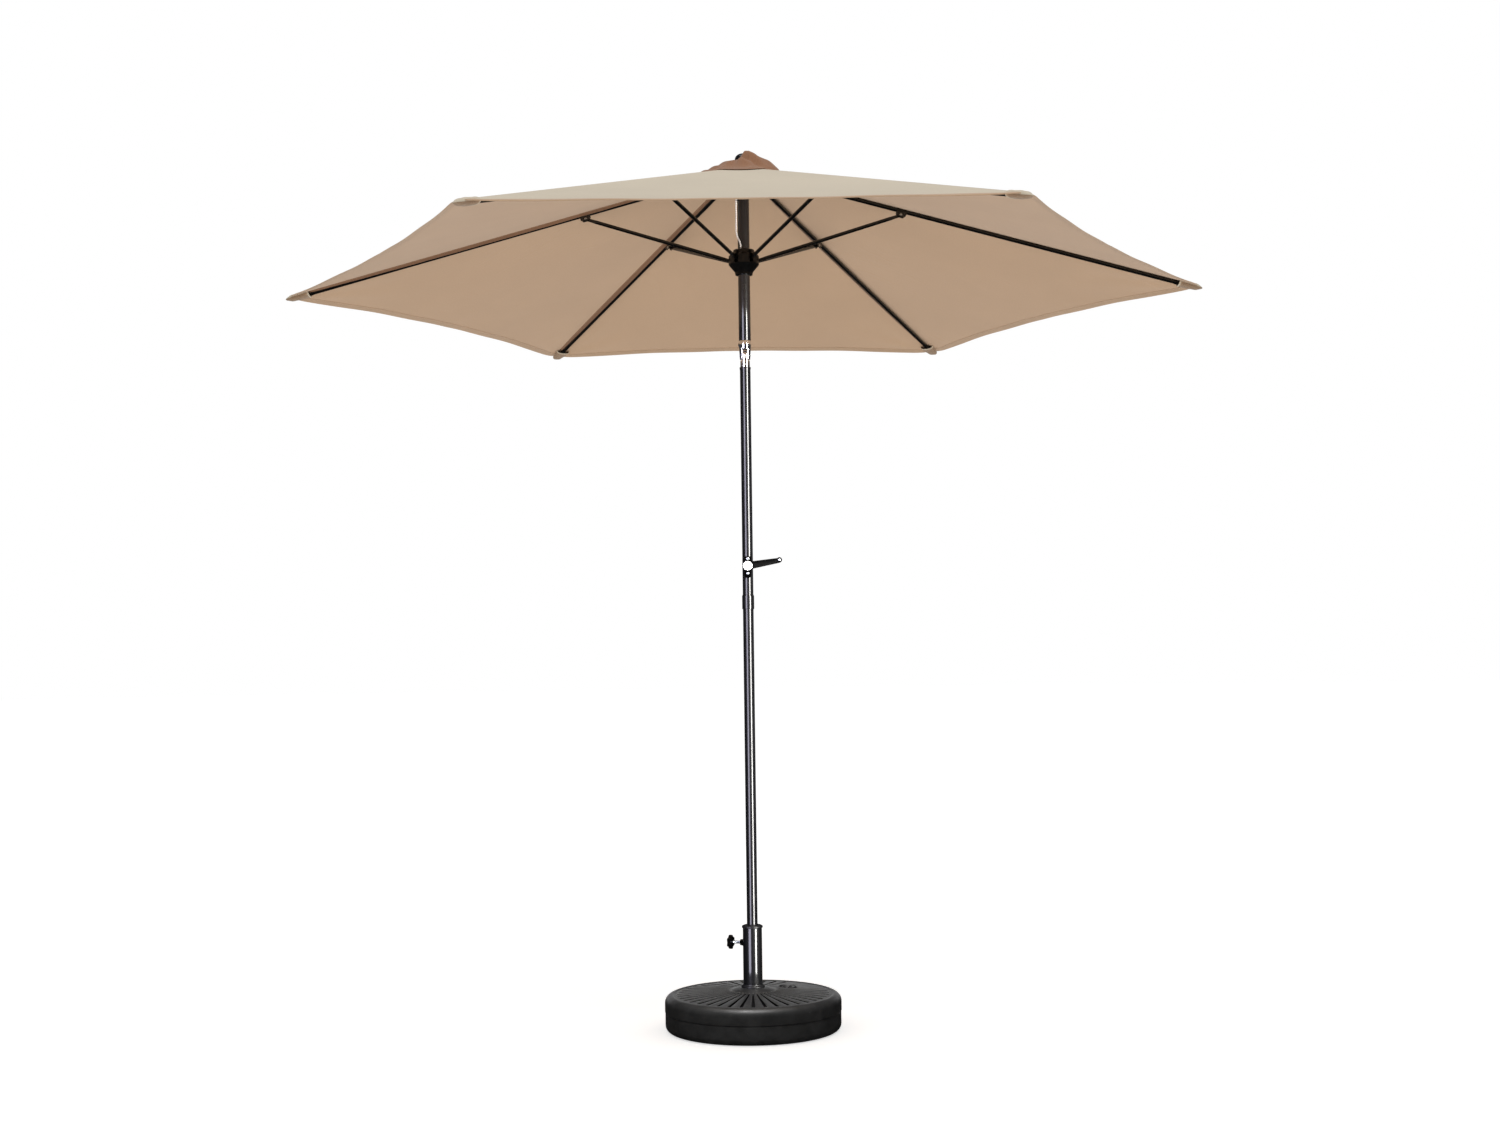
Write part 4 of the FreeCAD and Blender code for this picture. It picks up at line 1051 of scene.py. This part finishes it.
def rib_place(number):
    """A rib's own place: local X along the rib from its pivot, local Z square to it and up."""
    return rib_turn(number) @ shift(PIVOT_REACH, 0, PIVOT_HEIGHT) @ Matrix.Rotation(RIB_SLOPE, 4, "Y")


class UMBRELLA_OT_ribs(bpy.types.Operator):
    """Six ribs, each with a folded bracket, a rivet and an end cap"""

    bl_idname = "umbrella.ribs"
    bl_label = "Ribs"

    def execute(self, context):
        for number in range(1, RIBS + 1):
            self.rib(number)
        return {"FINISHED"}

    def rib(self, number):
        """The rib's tube is flattened to a blade with a rounded eye at the hub."""
        place, body = rib_place(number), f"rib_{number}"
        turn = np.linspace(-math.pi / 2, 0, 7)[1:]
        stations = np.concatenate([5 * np.sin(turn), np.linspace(2, 16, 4), np.linspace(18, 40, 10),
                                   np.linspace(70, RIB_LENGTH - 1, 12), [RIB_LENGTH]])
        shape = smooth((stations - 16) / 24)
        tall = np.where(stations < 0, 4.6 * np.cos(np.append(turn, np.zeros(len(stations) - 6))),
                        4.6 + (RIB_TUBE - 4.6) * shape)
        tube = bar(stations, 2 + (RIB_TUBE - 2) * shape, np.maximum(tall, 0.2), 6 - 4 * shape, place)
        add_piece(f"rib_{number}_tube", [tube], [powder_coat()], body, "rib_paint", [body])

        reach = math.cos(STRUT_SLOPE - RIB_SLOPE) * LINK_LENGTH
        drop = math.sin(STRUT_SLOPE - RIB_SLOPE) * LINK_LENGTH
        top = np.linspace(0, math.pi, 17)
        arch = np.stack([5.9 * np.cos(top), 2.4 * np.sin(top)], 1)
        outer = np.concatenate([[(7.5, -drop - 5), (7.5, -9), (7.3, -6), (6.5, -2.5)], arch,
                                [(-6.5, -2.5), (-7.3, -6), (-7.5, -9), (-7.5, -drop - 5)]])
        inner = np.concatenate([[(5.6, -drop - 5), (5.6, -9), (5.6, -6), (5.5, -2.5)], arch * 5.2 / 5.9,
                                [(-5.5, -2.5), (-5.6, -6), (-5.6, -9), (-5.6, -drop - 5)]])
        half = np.where(outer[:, 1] < -9, 8, 14)
        ways = np.linspace(-1, 1, 5)[:, None]
        sides = [np.stack([reach + ways * half, np.broadcast_to(s[:, 0], (5, len(s))),
                           np.broadcast_to(s[:, 1], (5, len(s)))], -1) for s in (outer, inner)]
        bracket = [moved(p, place) for p in shell(*sides)]
        add_piece(f"rib_{number}_bracket", bracket, [powder_coat()], body, "rib_paint")

        across = place @ shift(reach, 0, -drop) @ FORWARD
        rivet = rounded([(0, -9.1), (2, -9), (3.6, -8), (3.6, -7.5), (1.75, -7.5), (1.75, 7.5), (3.6, 7.5),
                         (3.6, 8), (2, 9), (0, 9.1)], [0.5, 0.8, 0, 0, 0, 0, 0.8, 0.5])
        add_piece(f"rib_{number}_rivet", [turned(rivet, across, 28)], [zinc_plate()], body, "rib_paint")

        along = place @ SIDEWAYS
        end = RIB_LENGTH
        cap = rounded([(RIB_TUBE, end - 22), (6.1, end - 22), (6.1, end - 3), (6.1, end + 3.8),
                       (0, end + 4)], [0.3, 0.5, 3.5])
        socket = np.array([(0, end - 2), (RIB_TUBE, end - 2), (RIB_TUBE, end - 22)])
        add_piece(f"rib_{number}_end_cap", [turned(np.concatenate([socket, cap[1:]]), along, 40)],
                  [moulded_nylon()], body, "rib_paint")


class UMBRELLA_OT_struts(bpy.types.Operator):
    """Six struts between the runner and the ribs"""

    bl_idname = "umbrella.struts"
    bl_label = "Struts"

    def execute(self, context):
        """Each strut's tube is flattened to a blade with a rounded eye at both ends."""
        turn = np.linspace(-math.pi / 2, 0, 7)[1:]
        half = np.concatenate([4.5 * np.sin(turn), [3, 12], np.linspace(16, 38, 10), [LINK_LENGTH / 2]])
        eye = np.concatenate([np.cos(turn), np.ones(13)])
        stations = np.concatenate([half, (LINK_LENGTH - half[:-1])[::-1]])
        eyes = np.concatenate([eye, eye[:-1][::-1]])
        inside = np.minimum(stations, LINK_LENGTH - stations)
        shape = smooth((inside - 14) / 24)
        tall = np.maximum((4.2 + (STRUT_TUBE - 4.2) * shape) * eyes, 0.2)
        for number in range(1, RIBS + 1):
            place = (rib_turn(number) @ shift(PIVOT_REACH, 0, RUNNER_PIVOT)
                     @ Matrix.Rotation(-STRUT_SLOPE, 4, "Y"))
            tube = bar(stations, 2 + (STRUT_TUBE - 2) * shape, tall, 6 - 4 * shape, place)
            pin = turned(rounded([(0, -5), (1.5, -5), (1.5, 5), (0, 5)], [0.3, 0.3]), place @ FORWARD, 24)
            name = f"strut_{number}"
            add_piece(f"{name}_tube", [tube, pin], [powder_coat()], name, "strut_paint", [name])
        return {"FINISHED"}


# --- canopy --------------------------------------------------------------------------------


def hem_radius(from_middle):
    """How far the hem lies from the pole, at an angle from a gore's middle. The hem is a parabola that
    joins two tips, its middle one scallop inside their chord: r cos = chord - scallop + scallop (r sin /
    half)^2, solved for r. The sharp corner at each tip is cut off square, with a round of 5 mm."""
    chord, half = TIP_RADIUS * math.cos(HALF_GORE), TIP_RADIUS * math.sin(HALF_GORE)
    bend = SCALLOP * (np.sin(from_middle) / half) ** 2
    inside = chord - SCALLOP
    cos = np.cos(from_middle)
    hem = 2 * inside / (cos + np.sqrt(cos ** 2 - 4 * bend * inside))
    square = (TIP_RADIUS - CORNER_CUT) / np.cos(HALF_GORE - from_middle)
    return (hem + square - np.sqrt((hem - square) ** 2 + 10 ** 2)) / 2


def cloth_point(across, radius, sag):
    """The cloth's underside in a rib's own sector. across is -1 to 1 over 60 degrees. Each gore is flat
    between its ribs, so its height is the rib line's at radius cos(from middle) / cos 30, less the sag,
    which grows as a sine towards the middle, and the wrinkles: fans of waves from each tip that die away
    with distance, and long low waves along the hem."""
    azimuth = across * HALF_GORE
    from_middle = (1 - np.abs(across)) * HALF_GORE
    over_rib = radius * np.cos(from_middle) / math.cos(HALF_GORE)
    share = (radius - VENT_OPENING) / (hem_radius(from_middle) - VENT_OPENING)
    height = PIVOT_HEIGHT + CLOTH_LIFT - (over_rib - PIVOT_REACH) * math.tan(RIB_SLOPE)
    height = height - sag * np.sin(np.abs(across) * math.pi / 2) * np.sin(np.clip(share, 0, 1) * 2.0)
    x, y = radius * np.cos(azimuth), radius * np.sin(azimuth)
    to_tip = np.hypot(TIP_RADIUS - x, y)
    fan = np.arctan2(np.abs(y), TIP_RADIUS - x)
    side = np.cos(across * math.pi / 2) ** 2 * smooth((np.abs(y) - 20) / 30)
    height = height - side * 0.055 * to_tip * np.exp(-to_tip / 110) * (0.5 + 0.5 * np.sin(15 * fan - 0.6))
    along = np.abs(across) * 2.2 * math.pi
    height = height - 1.3 * share ** 6 * np.sin(along) ** 2 * np.minimum(np.abs(y) / 30, 1)
    return np.stack([x, y, height], -1)


def gore_pattern(points, across):
    """Metres across and along the gore that each half of a sector belongs to, whose middle is at 30
    degrees to one side of the rib."""
    turn = np.where(across >= 0, HALF_GORE, -HALF_GORE)
    x, y = points[..., 0] * MM, points[..., 1] * MM
    return np.stack([y * np.cos(turn) - x * np.sin(turn) + np.sign(turn),
                     x * np.cos(turn) + y * np.sin(turn)], -1)


class UMBRELLA_OT_canopy(bpy.types.Operator):
    """The canopy: six sectors of cloth with hems, seams and rib pockets"""

    bl_idname = "umbrella.canopy"
    bl_label = "Canopy"

    def execute(self, context):
        sizes = context.scene.umbrella_sizes
        sag, hem, seam = sizes.sag / MM, sizes.hem / MM, sizes.seam / MM
        for number in range(1, RIBS + 1):
            pieces = [self.hem(number, sag, hem), self.seam(number, seam)]
            pieces += self.pocket(number)
            self.sector(number, sag, pieces)
        return {"FINISHED"}

    def squash(self, piece, number):
        """Gives the piece a mesh of its own."""
        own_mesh(piece)

    def sector(self, number, sag, pieces):
        """One closed sheet from the top hole to the hem, 30 degrees to each side of the rib."""
        half = np.linspace(0, 1, 45) ** 1.2
        across = np.concatenate([-half[:0:-1], half])
        share = np.linspace(0, 1, 110) ** 0.9
        share, across = np.meshgrid(share, across, indexing="ij")
        from_middle = (1 - np.abs(across)) * HALF_GORE
        hole = VENT_OPENING * math.cos(HALF_GORE) / np.cos(from_middle)
        radius = hole + share * (hem_radius(from_middle) - hole)
        under = cloth_point(across, radius, sag)
        outer = under + (0, 0, CLOTH / math.cos(RIB_SLOPE))
        pattern = gore_pattern(under, across)
        place = rib_turn(number)
        patches = [moved(p, place) for p in shell(outer, under)]
        patterns = shell(pattern, pattern)
        sheet = add_piece(f"canopy_sector_{number}", patches, [cloth("outer_face"), cloth("under_face")],
                          f"rib_{number}", "canopy_cloth", [f"canopy_panel_{number}"],
                          faces_of=[0, 1, 0, 0, 0, 0], patterns=patterns)
        self.squash(sheet, number)

    def hem(self, number, sag, width):
        """The hem is a flat loop carried round the sector's edge, over its face and back under it."""
        loop = np.array([(width, -0.7), (width / 2, -0.9), (3, -0.9), (-0.6, -0.5), (-1.3, 0.5),
                         (-0.6, 1.6), (3, 1.95), (width / 2, 1.95), (width, 1.7), (width, -0.7)])
        half = np.linspace(0, 1, 61)
        across = np.concatenate([-half[:0:-1], half])
        ends = np.concatenate([[across[0]], across, [across[-1]]])
        inset, lift = loop[:, 0], loop[:, 1]
        spread = np.ones((len(ends), 1))
        spread[[0, -1]] = 0
        inset = inset.mean() + (inset - inset.mean()) * spread
        lift = lift.mean() + (lift - lift.mean()) * spread
        across = ends[:, None] + 0 * inset
        radius = hem_radius((1 - np.abs(across)) * HALF_GORE) - inset
        points = cloth_point(across, radius, sag)
        points[..., 2] += lift
        pattern = np.stack([across * HALF_GORE * TIP_RADIUS * MM, (inset + 0 * across) * MM], -1)
        piece = add_piece(f"canopy_hem_{number}", [moved(points, rib_turn(number))], [cloth("hem")],
                          f"rib_{number}", "canopy_cloth", patterns=[pattern])
        self.squash(piece, number)
        return piece

    def seam(self, number, width):
        """The seam allowance is a folded strip that leans from the cloth to the rib's side. It is widest
        halfway out, and its free edge waves by a few tenths of a millimetre."""
        along = np.linspace(62, RIB_LENGTH - 14, 100)
        share = (along - along[0]) / (along[-1] - along[0])
        size = width / 13 * (0.45 + 0.55 * np.sin(share * math.pi) ** 0.6)[:, None]
        wave = (0.5 * np.sin(along / 21) + 0.4 * np.sin(along / 8.3))[:, None]
        loop = np.array([(0, 0), (0.3, 0), (0.5, 0.5), (0.5, 0.92), (0.25, 1), (-0.25, 1), (-0.5, 0.92),
                         (-0.5, 0.5), (-0.3, 0), (0, 0)])
        down = loop[:, 1]
        y = 7.2 + 9 * size * (1 - down) + loop[:, 0] * 1.5 + wave * down * (1 - down) * 2
        z = 5.4 - 1.5 * size * (1 - down) - 7.6 * size * down + 0.3 * wave * down
        points = np.stack([along[:, None] + 0 * y, y, z], -1)
        points = capped(points, points[0].mean(0), points[-1].mean(0))
        pattern = np.stack([points[..., 0] * MM, (5.4 - points[..., 2]) * MM], -1)
        # The strip's dark colour is partly painted shade beside the rib.
        return add_piece(f"canopy_seam_{number}", [moved(points, rib_place(number))], [cloth("seam")],
                         f"rib_{number}", "canopy_cloth", patterns=[pattern])

    def pocket(self, number):
        """The rib pocket is a flattened sleeve that narrows to the tip: superellipses along the rib, an
        outer wall and an inner wall 1.2 mm inside it. Its upper half is the canopy's own cloth, its
        lower half is folded back, and its mouth is bound. The lower half and the inside are coloured
        darker than the cloth, as painted shade under the pocket."""
        mouth, tip = RIB_LENGTH - 10, RIB_LENGTH + 54
        share = np.linspace(0, 1, 26) ** 0.85
        place = rib_place(number)
        walls = []
        for inset in (0, 1.2):
            s = mouth + share * (tip - inset - mouth)
            close = np.sqrt(np.clip(1 - ((share - 0.62) / 0.38).clip(0) ** 2, 0, 1))
            wide = (21 - 8 * share ** 0.8 - inset) * close
            tall = (8.6 + 2.2 * np.sin(share * math.pi) - 3.2 * share - inset) * close
            pucker = 0.8 * np.sin(share * 19) * share
            tall = tall + pucker * close
            walls.append(bar(s, np.maximum(wide, 0.02), np.maximum(tall, 0.02), 2.3, place,
                             0.4 + 1.6 * share)[1:])
        outer, inner = walls
        rim = np.stack([outer[0], inner[0]])
        around_it = np.linspace(0, 0.07, outer.shape[1])
        along = np.append(share, 1)[:, None] * 0.06
        flat = np.stack([around_it + 0 * along, along + 0 * around_it], -1)
        pocket = add_piece(f"canopy_pocket_{number}", [outer[:, :17], outer[:, 16:], inner, rim],
                           [cloth("outer_face"), cloth("pocket")], f"rib_{number}", "canopy_cloth",
                           faces_of=[0, 1, 1, 1], patterns=[flat[:, :17], flat[:, 16:], flat, flat[:2]])
        ring = (outer[0] + inner[0]) / 2
        steps = np.roll(ring[:-1], -1, 0) - np.roll(ring[:-1], 1, 0)
        steps = steps / np.linalg.norm(steps, axis=1)[:, None]
        rib_way = np.array(place)[:3, 0]
        out = np.cross(steps, rib_way)
        turn = np.linspace(0, 2 * math.pi, 9)
        band = (ring[:-1, None] + 1.3 * np.cos(turn)[None, :, None] * out[:, None]
                + 2.4 * np.sin(turn)[None, :, None] * rib_way)
        band = np.concatenate([band, band[:1]])
        flat = np.stack([np.broadcast_to(np.linspace(0, 0.07, len(band))[:, None], band.shape[:2]),
                         np.broadcast_to(turn * 0.001, band.shape[:2])], -1)
        binding = add_piece(f"canopy_binding_{number}", [band], [cloth("binding")], f"rib_{number}",
                            "canopy_cloth", patterns=[flat])
        return [pocket, binding]


class UMBRELLA_OT_vent_cap(bpy.types.Operator):
    """The small loose cap of cloth over the top opening"""

    bl_idname = "umbrella.vent_cap"
    bl_label = "Vent cap"

    def execute(self, context):
        """The cap is a height over radius and azimuth. It rests on the canopy all round and rises to the
        finial. A tall fold stands in front of the finial, steep on its left and sloping down to the right,
        exp(-((y + 50) / 27)^2) from front to back, and a low one lies on the left. The creases are ridges
        and valleys along two slanted lines, and where the sine of an angle changes sign."""
        share = np.linspace(0, 1, 80)[:, None]
        azimuth = np.linspace(0, 2 * math.pi, 241)
        left = np.exp(-((azimuth - math.radians(192)) / math.radians(24)) ** 2)
        edge = VENT_RADIUS + 5 * np.sin(3 * azimuth + 1) + 3 * np.sin(7 * azimuth) + 38 * left
        radius = 10 + share * (edge - 10)
        x, y = radius * np.cos(azimuth), radius * np.sin(azimuth)
        from_middle = np.abs(azimuth % math.radians(60) - HALF_GORE)
        over_rib = radius * np.cos(from_middle) / math.cos(HALF_GORE)
        canopy = PIVOT_HEIGHT + CLOTH_LIFT + 2.6 - (over_rib - PIVOT_REACH) * math.tan(RIB_SLOPE)
        height = canopy + (VENT_TOP - 1 - canopy[0].max()) * (1 - smooth(share * 1.15))
        inside = smooth((edge - radius) / 16)
        fold = (smooth((x + 26) / 32) * smooth((112 - x) / 48) * np.exp(-((y + 50) / 27) ** 2)
                * smooth((edge - radius) / 14 + 0.05))
        low = smooth((x + 172) / 70) * smooth((-x - 10) / 30) * np.exp(-((y + 34) / 26) ** 2) * inside
        right_line = (50 * x + 60 * (y + 50)) / 78
        left_line = (x + 5 - (y + 50)) / 1.41
        height = height + 27 * fold + 11 * low
        height = height + fold * (5 * np.exp(-((right_line - 15) / 8) ** 2)
                                  - 13 * np.exp(-(right_line / 8) ** 2)
                                  + 6 * np.exp(-(left_line / 6) ** 2))
        crisp = 1 - np.abs(np.sin(3.5 * azimuth + 0.9 + 0.8 * share))
        height = height + inside * (5 * crisp ** 2 * smooth(share * 2)
                                    + 3 * low * np.sin(x / 9 + y / 14) ** 2)
        under = np.stack([x, y, height], -1)
        ahead = np.roll(under[:, :-1], -1, 1) - np.roll(under[:, :-1], 1, 1)
        normal = np.cross(np.gradient(under, axis=0)[:, :-1], ahead)
        normal /= np.linalg.norm(normal, axis=2, keepdims=True)
        outer = under + CLOTH * np.concatenate([normal, normal[:, :1]], 1)
        flat = np.stack([x * MM, y * MM], -1)
        cap = add_piece("vent_cap_cloth", shell(outer, under)[:4], [cloth("vent_cap")], "mast_upper",
                        "vent_cap", ["vent_cap"], patterns=shell(flat, flat)[:4])
        return {"FINISHED"}


class UMBRELLA_OT_lift_cord(bpy.types.Operator):
    """The lift cord outside the pole, from the pulley down to the runner"""

    bl_idname = "umbrella.lift_cord"
    bl_label = "Lift cord"

    def execute(self, context):
        """The cord follows one smooth curve from the pulley's edge, down past a knee and in to the
        runner."""
        radius = context.scene.umbrella_sizes.cord / MM / 2
        out = np.array([math.cos(PULLEY_TURN), math.sin(PULLEY_TURN), 0])
        hook = np.array([math.cos(math.radians(250)), math.sin(math.radians(250)), 0])
        # The route: off the pulley, two points down the straight fall, the knee, and the runner's hole.
        route = [out * 20.4 + (0, 0, PULLEY_HEIGHT), out * 20.6 + (0, 0, PULLEY_HEIGHT - 40),
                 out * 20.8 + (0, 0, RUNNER_HIGH + 62), out * 21.0 + (0, 0, RUNNER_HIGH + 40),
                 hook * 21.4 + (0, 0, RUNNER_HIGH + 14), hook * 21.6 + (0, 0, RUNNER_HIGH - 3)]
        path = spline_points(route)
        angle = np.linspace(0, 1, 17)
        tube = carried(path, circle(radius), up=(0, 1, 0))
        length = np.concatenate([[0], np.cumsum(np.linalg.norm(np.diff(path, axis=0), axis=1))])
        length = np.concatenate([length[:1], length, length[-1:]]) * MM
        pattern = np.stack([np.broadcast_to(angle, tube.shape[:2]),
                            np.broadcast_to(length[:, None], tube.shape[:2])], -1)
        cord = add_piece("lift_cord_braid", [tube], [braided_cord()], None, "lift_cord_fall",
                         ["lift_cord_fall"], patterns=[pattern], sharp=80)
        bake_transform(cord)
        return {"FINISHED"}


def spline_points(route):
    """Points along a NURBS curve of order 3 whose control points are the route, in millimetres."""
    curve = bpy.data.curves.new("route", "CURVE")
    curve.dimensions = "3D"
    curve.resolution_u = 16
    spline = curve.splines.new("NURBS")
    spline.points.add(len(route) - 1)
    for point, place in zip(spline.points, route):
        point.co = (*place, 1)
    spline.order_u = 3
    spline.use_endpoint_u = True
    holder = bpy.data.objects.new("route", curve)
    line = bpy.data.meshes.new_from_object(holder)
    path = np.zeros(len(line.vertices) * 3)
    line.vertices.foreach_get("co", path)
    bpy.data.objects.remove(holder)
    bpy.data.meshes.remove(line)
    return path.reshape(-1, 3)


class UMBRELLA_OT_inner_parts(bpy.types.Operator):
    """Materials for the CAD parts that show little or not at all"""

    bl_idname = "umbrella.inner_parts"
    bl_label = "Inner parts"

    def execute(self, context):
        finishes = {
            wet_sand: ["sand_fill"],
            zinc_plate: ["tube_plug", "anchor_bolt", "crank_shaft", "hub_wire", "pulley_pin"],
            moulded_nylon: ["mast_seat", "pole_end_plug", "cord_spool", "pulley"],
            sawn_brass: ["lock_pad"],
            spring_steel: ["tilt_spring"],
            plain_cord: ["lift_cord_lower", "lift_cord_upper", "wound_cord"],
        }
        for finish, nodes in finishes.items():
            for name in nodes:
                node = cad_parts[name]
                if not node.material_slots:
                    node.data.materials.append(None)
                for slot in node.material_slots:
                    slot.material = finish()
        return {"FINISHED"}


class UMBRELLA_OT_stage(bpy.types.Operator):
    """The pale floor, the soft studio lights and the camera"""

    bl_idname = "umbrella.stage"
    bl_label = "Stage"

    def execute(self, context):
        self.floor()
        self.world(context.scene)
        meshes = [piece for piece in context.scene.collection.all_objects if piece.type == "MESH"]
        base = [piece for piece in meshes if piece.name.startswith(("base", "filler"))]
        shiny = ("stand_tube", "tube_foot", "collar", "lower_pole", "middle_pole", "upper_pole", "tilt",
                 "lift_cord", "housing_rivet", "crank_badge", "grip_rivet", "lock_screw", "finial")
        hard = [piece for piece in meshes if piece.name.startswith(shiny)]
        lever = [piece for piece in meshes if piece.name.startswith(("crank_lever", "crank_knob"))]
        for name, azimuth, distance, height, width, tall, power, colour, lit in (
                ("strip_right", 42, 1.0, 1.15, 0.275, 2.5, 84, "#FFFEFA", hard),
                ("strip_left", -32, 1.0, 1.15, 0.475, 2.5, 34, "#E7E4FA", hard),
                ("lever_front", -25, 2.0, 1.7, 0.9, 0.9, 16, "#FFFFFF", lever),
                ("base_front", -8, 0.8, 1.75, 0.5, 0.4, 42, "#FFFFFF", base),
                ("base_back", 180, 2.4, 0.5, 3.2, 0.6, 9, "#FFFFFF", base),
                ("top_soft", 10, 1.2, 5.2, 4.0, 4.0, 85, "#FFFFFF", None)):
            lamp = self.light(name, azimuth, distance, height, width, tall, power, colour)
            if lit:
                group = bpy.data.collections.new(name + "_lights")
                for piece in lit:
                    group.objects.link(piece)
                lamp.light_linking.receiver_collection = group
        self.camera(context.scene)
        context.scene.view_settings.view_transform = "Standard"
        return {"FINISHED"}

    def floor(self):
        """A wide round floor just under the base. It glows a little, so that it runs into the white
        behind and lights the canopy from below, and it stays dim in reflections."""
        disc = turned([(0, -0.4), (400, -0.4), (2500, -0.4), (60000, -0.4)], segments=96)
        material, tree, shader = new_material("studio_floor", Roughness=0.9, Specular_IOR_Level=0.1)
        pale = blend_colours(tree, object_noise(tree, 300), linear("#F4F4F3"), linear("#FAFAF9"))
        ray = add_node(tree, "LightPath").outputs
        seen = mix_colours(tree, ray["Is Glossy Ray"], pale, linear("#3A3A3A"))
        tree.links.new(seen, shader.inputs["Base Color"])
        shader.inputs["Emission Color"].default_value = (1, 1, 1, 1)
        glow = maths(tree, "MULTIPLY", ray["Is Camera Ray"], 0.6)
        glow = maths(tree, "MULTIPLY_ADD", ray["Is Diffuse Ray"], 0.34, glow)
        tree.links.new(glow, shader.inputs["Emission Strength"])
        mesh = make_mesh("studio_floor", [disc], [material])
        mesh.flip_normals()
        floor = bpy.data.objects.new("studio_floor", mesh)
        bpy.context.scene.collection.objects.link(floor)

    def world(self, scene):
        """White behind the object, softer as light, and dim in reflections."""
        world = bpy.data.worlds.new("studio")
        scene.world = world
        world.use_nodes = True
        tree = world.node_tree
        ray = add_node(tree, "LightPath").outputs
        soft = mix_colours(tree, ray["Is Glossy Ray"], (0.5, 0.5, 0.5, 1), (0.05, 0.05, 0.055, 1))
        seen = mix_colours(tree, ray["Is Camera Ray"], soft, (1, 1, 1, 1))
        tree.links.new(seen, tree.nodes["Background"].inputs["Color"])

    def light(self, name, azimuth, distance, height, width, tall, power, colour):
        """A rectangular softbox that faces the pole's middle, azimuth degrees to the camera's right."""
        lamp = bpy.data.lights.new(name, "AREA")
        lamp.shape = "RECTANGLE"
        lamp.size, lamp.size_y = width, tall
        lamp.energy = power
        lamp.color = linear(colour)[:3]
        holder = bpy.data.objects.new(name, lamp)
        turn = math.radians(azimuth)
        aim_height = 0.1 if name.startswith("base") else min(height, 1.25)
        place = Matrix.Translation((distance * math.sin(turn), -distance * math.cos(turn), height))
        aim = Matrix.Translation((0, 0, aim_height)).translation - place.translation
        holder.matrix_world = place @ aim.to_track_quat("-Z", "Y").to_matrix().to_4x4()
        holder.visible_camera = False
        bpy.context.scene.collection.objects.link(holder)
        return holder

    def camera(self, scene):
        """Level with the crank, five metres off, tipped up by three degrees and rolled by under one."""
        lens = bpy.data.cameras.new("camera")
        lens.lens = 46.07
        lens.sensor_width = 36
        holder = bpy.data.objects.new("camera", lens)
        pan, tip, roll = (Matrix.Rotation(math.radians(angle), 4, axis)
                          for angle, axis in ((-0.07, "Z"), (90 + 2.907, "X"), (-0.736, "Z")))
        holder.matrix_world = shift(0, -5.055, 0.961) @ pan @ tip @ roll
        scene.collection.objects.link(holder)
        scene.camera = holder


OPERATORS = [
    UMBRELLA_OT_base, UMBRELLA_OT_stand_tube, UMBRELLA_OT_poles, UMBRELLA_OT_crank,
    UMBRELLA_OT_tilt_joint, UMBRELLA_OT_hub, UMBRELLA_OT_runner, UMBRELLA_OT_ribs, UMBRELLA_OT_struts,
    UMBRELLA_OT_canopy, UMBRELLA_OT_vent_cap, UMBRELLA_OT_lift_cord, UMBRELLA_OT_inner_parts,
    UMBRELLA_OT_stage,
]


class UMBRELLA_PT_panel(bpy.types.Panel):
    """Lists the pieces, with the sizes and colours they are made from"""

    bl_idname = "UMBRELLA_PT_panel"
    bl_label = "Patio umbrella"
    bl_space_type = "VIEW_3D"
    bl_region_type = "UI"
    bl_category = "Umbrella"

    def draw(self, context):
        for settings in (context.scene.umbrella_sizes, context.scene.umbrella_colours):
            for name in settings.__annotations__:
                self.layout.prop(settings, name)
        for operator in OPERATORS:
            self.layout.operator(operator.bl_idname)


CLASSES = [UmbrellaSizes, UmbrellaColours, *OPERATORS, UMBRELLA_PT_panel]


def register():
    for each in CLASSES:
        bpy.utils.register_class(each)
    bpy.types.Scene.umbrella_sizes = PointerProperty(type=UmbrellaSizes)
    bpy.types.Scene.umbrella_colours = PointerProperty(type=UmbrellaColours)


def unregister():
    del bpy.types.Scene.umbrella_colours
    del bpy.types.Scene.umbrella_sizes
    for each in reversed(CLASSES):
        bpy.utils.unregister_class(each)


def main():
    """Builds every piece."""
    register()
    for operator in OPERATORS:
        getattr(bpy.ops.umbrella, operator.bl_idname.split(".")[1])()


if __name__ == "__main__":
    main()
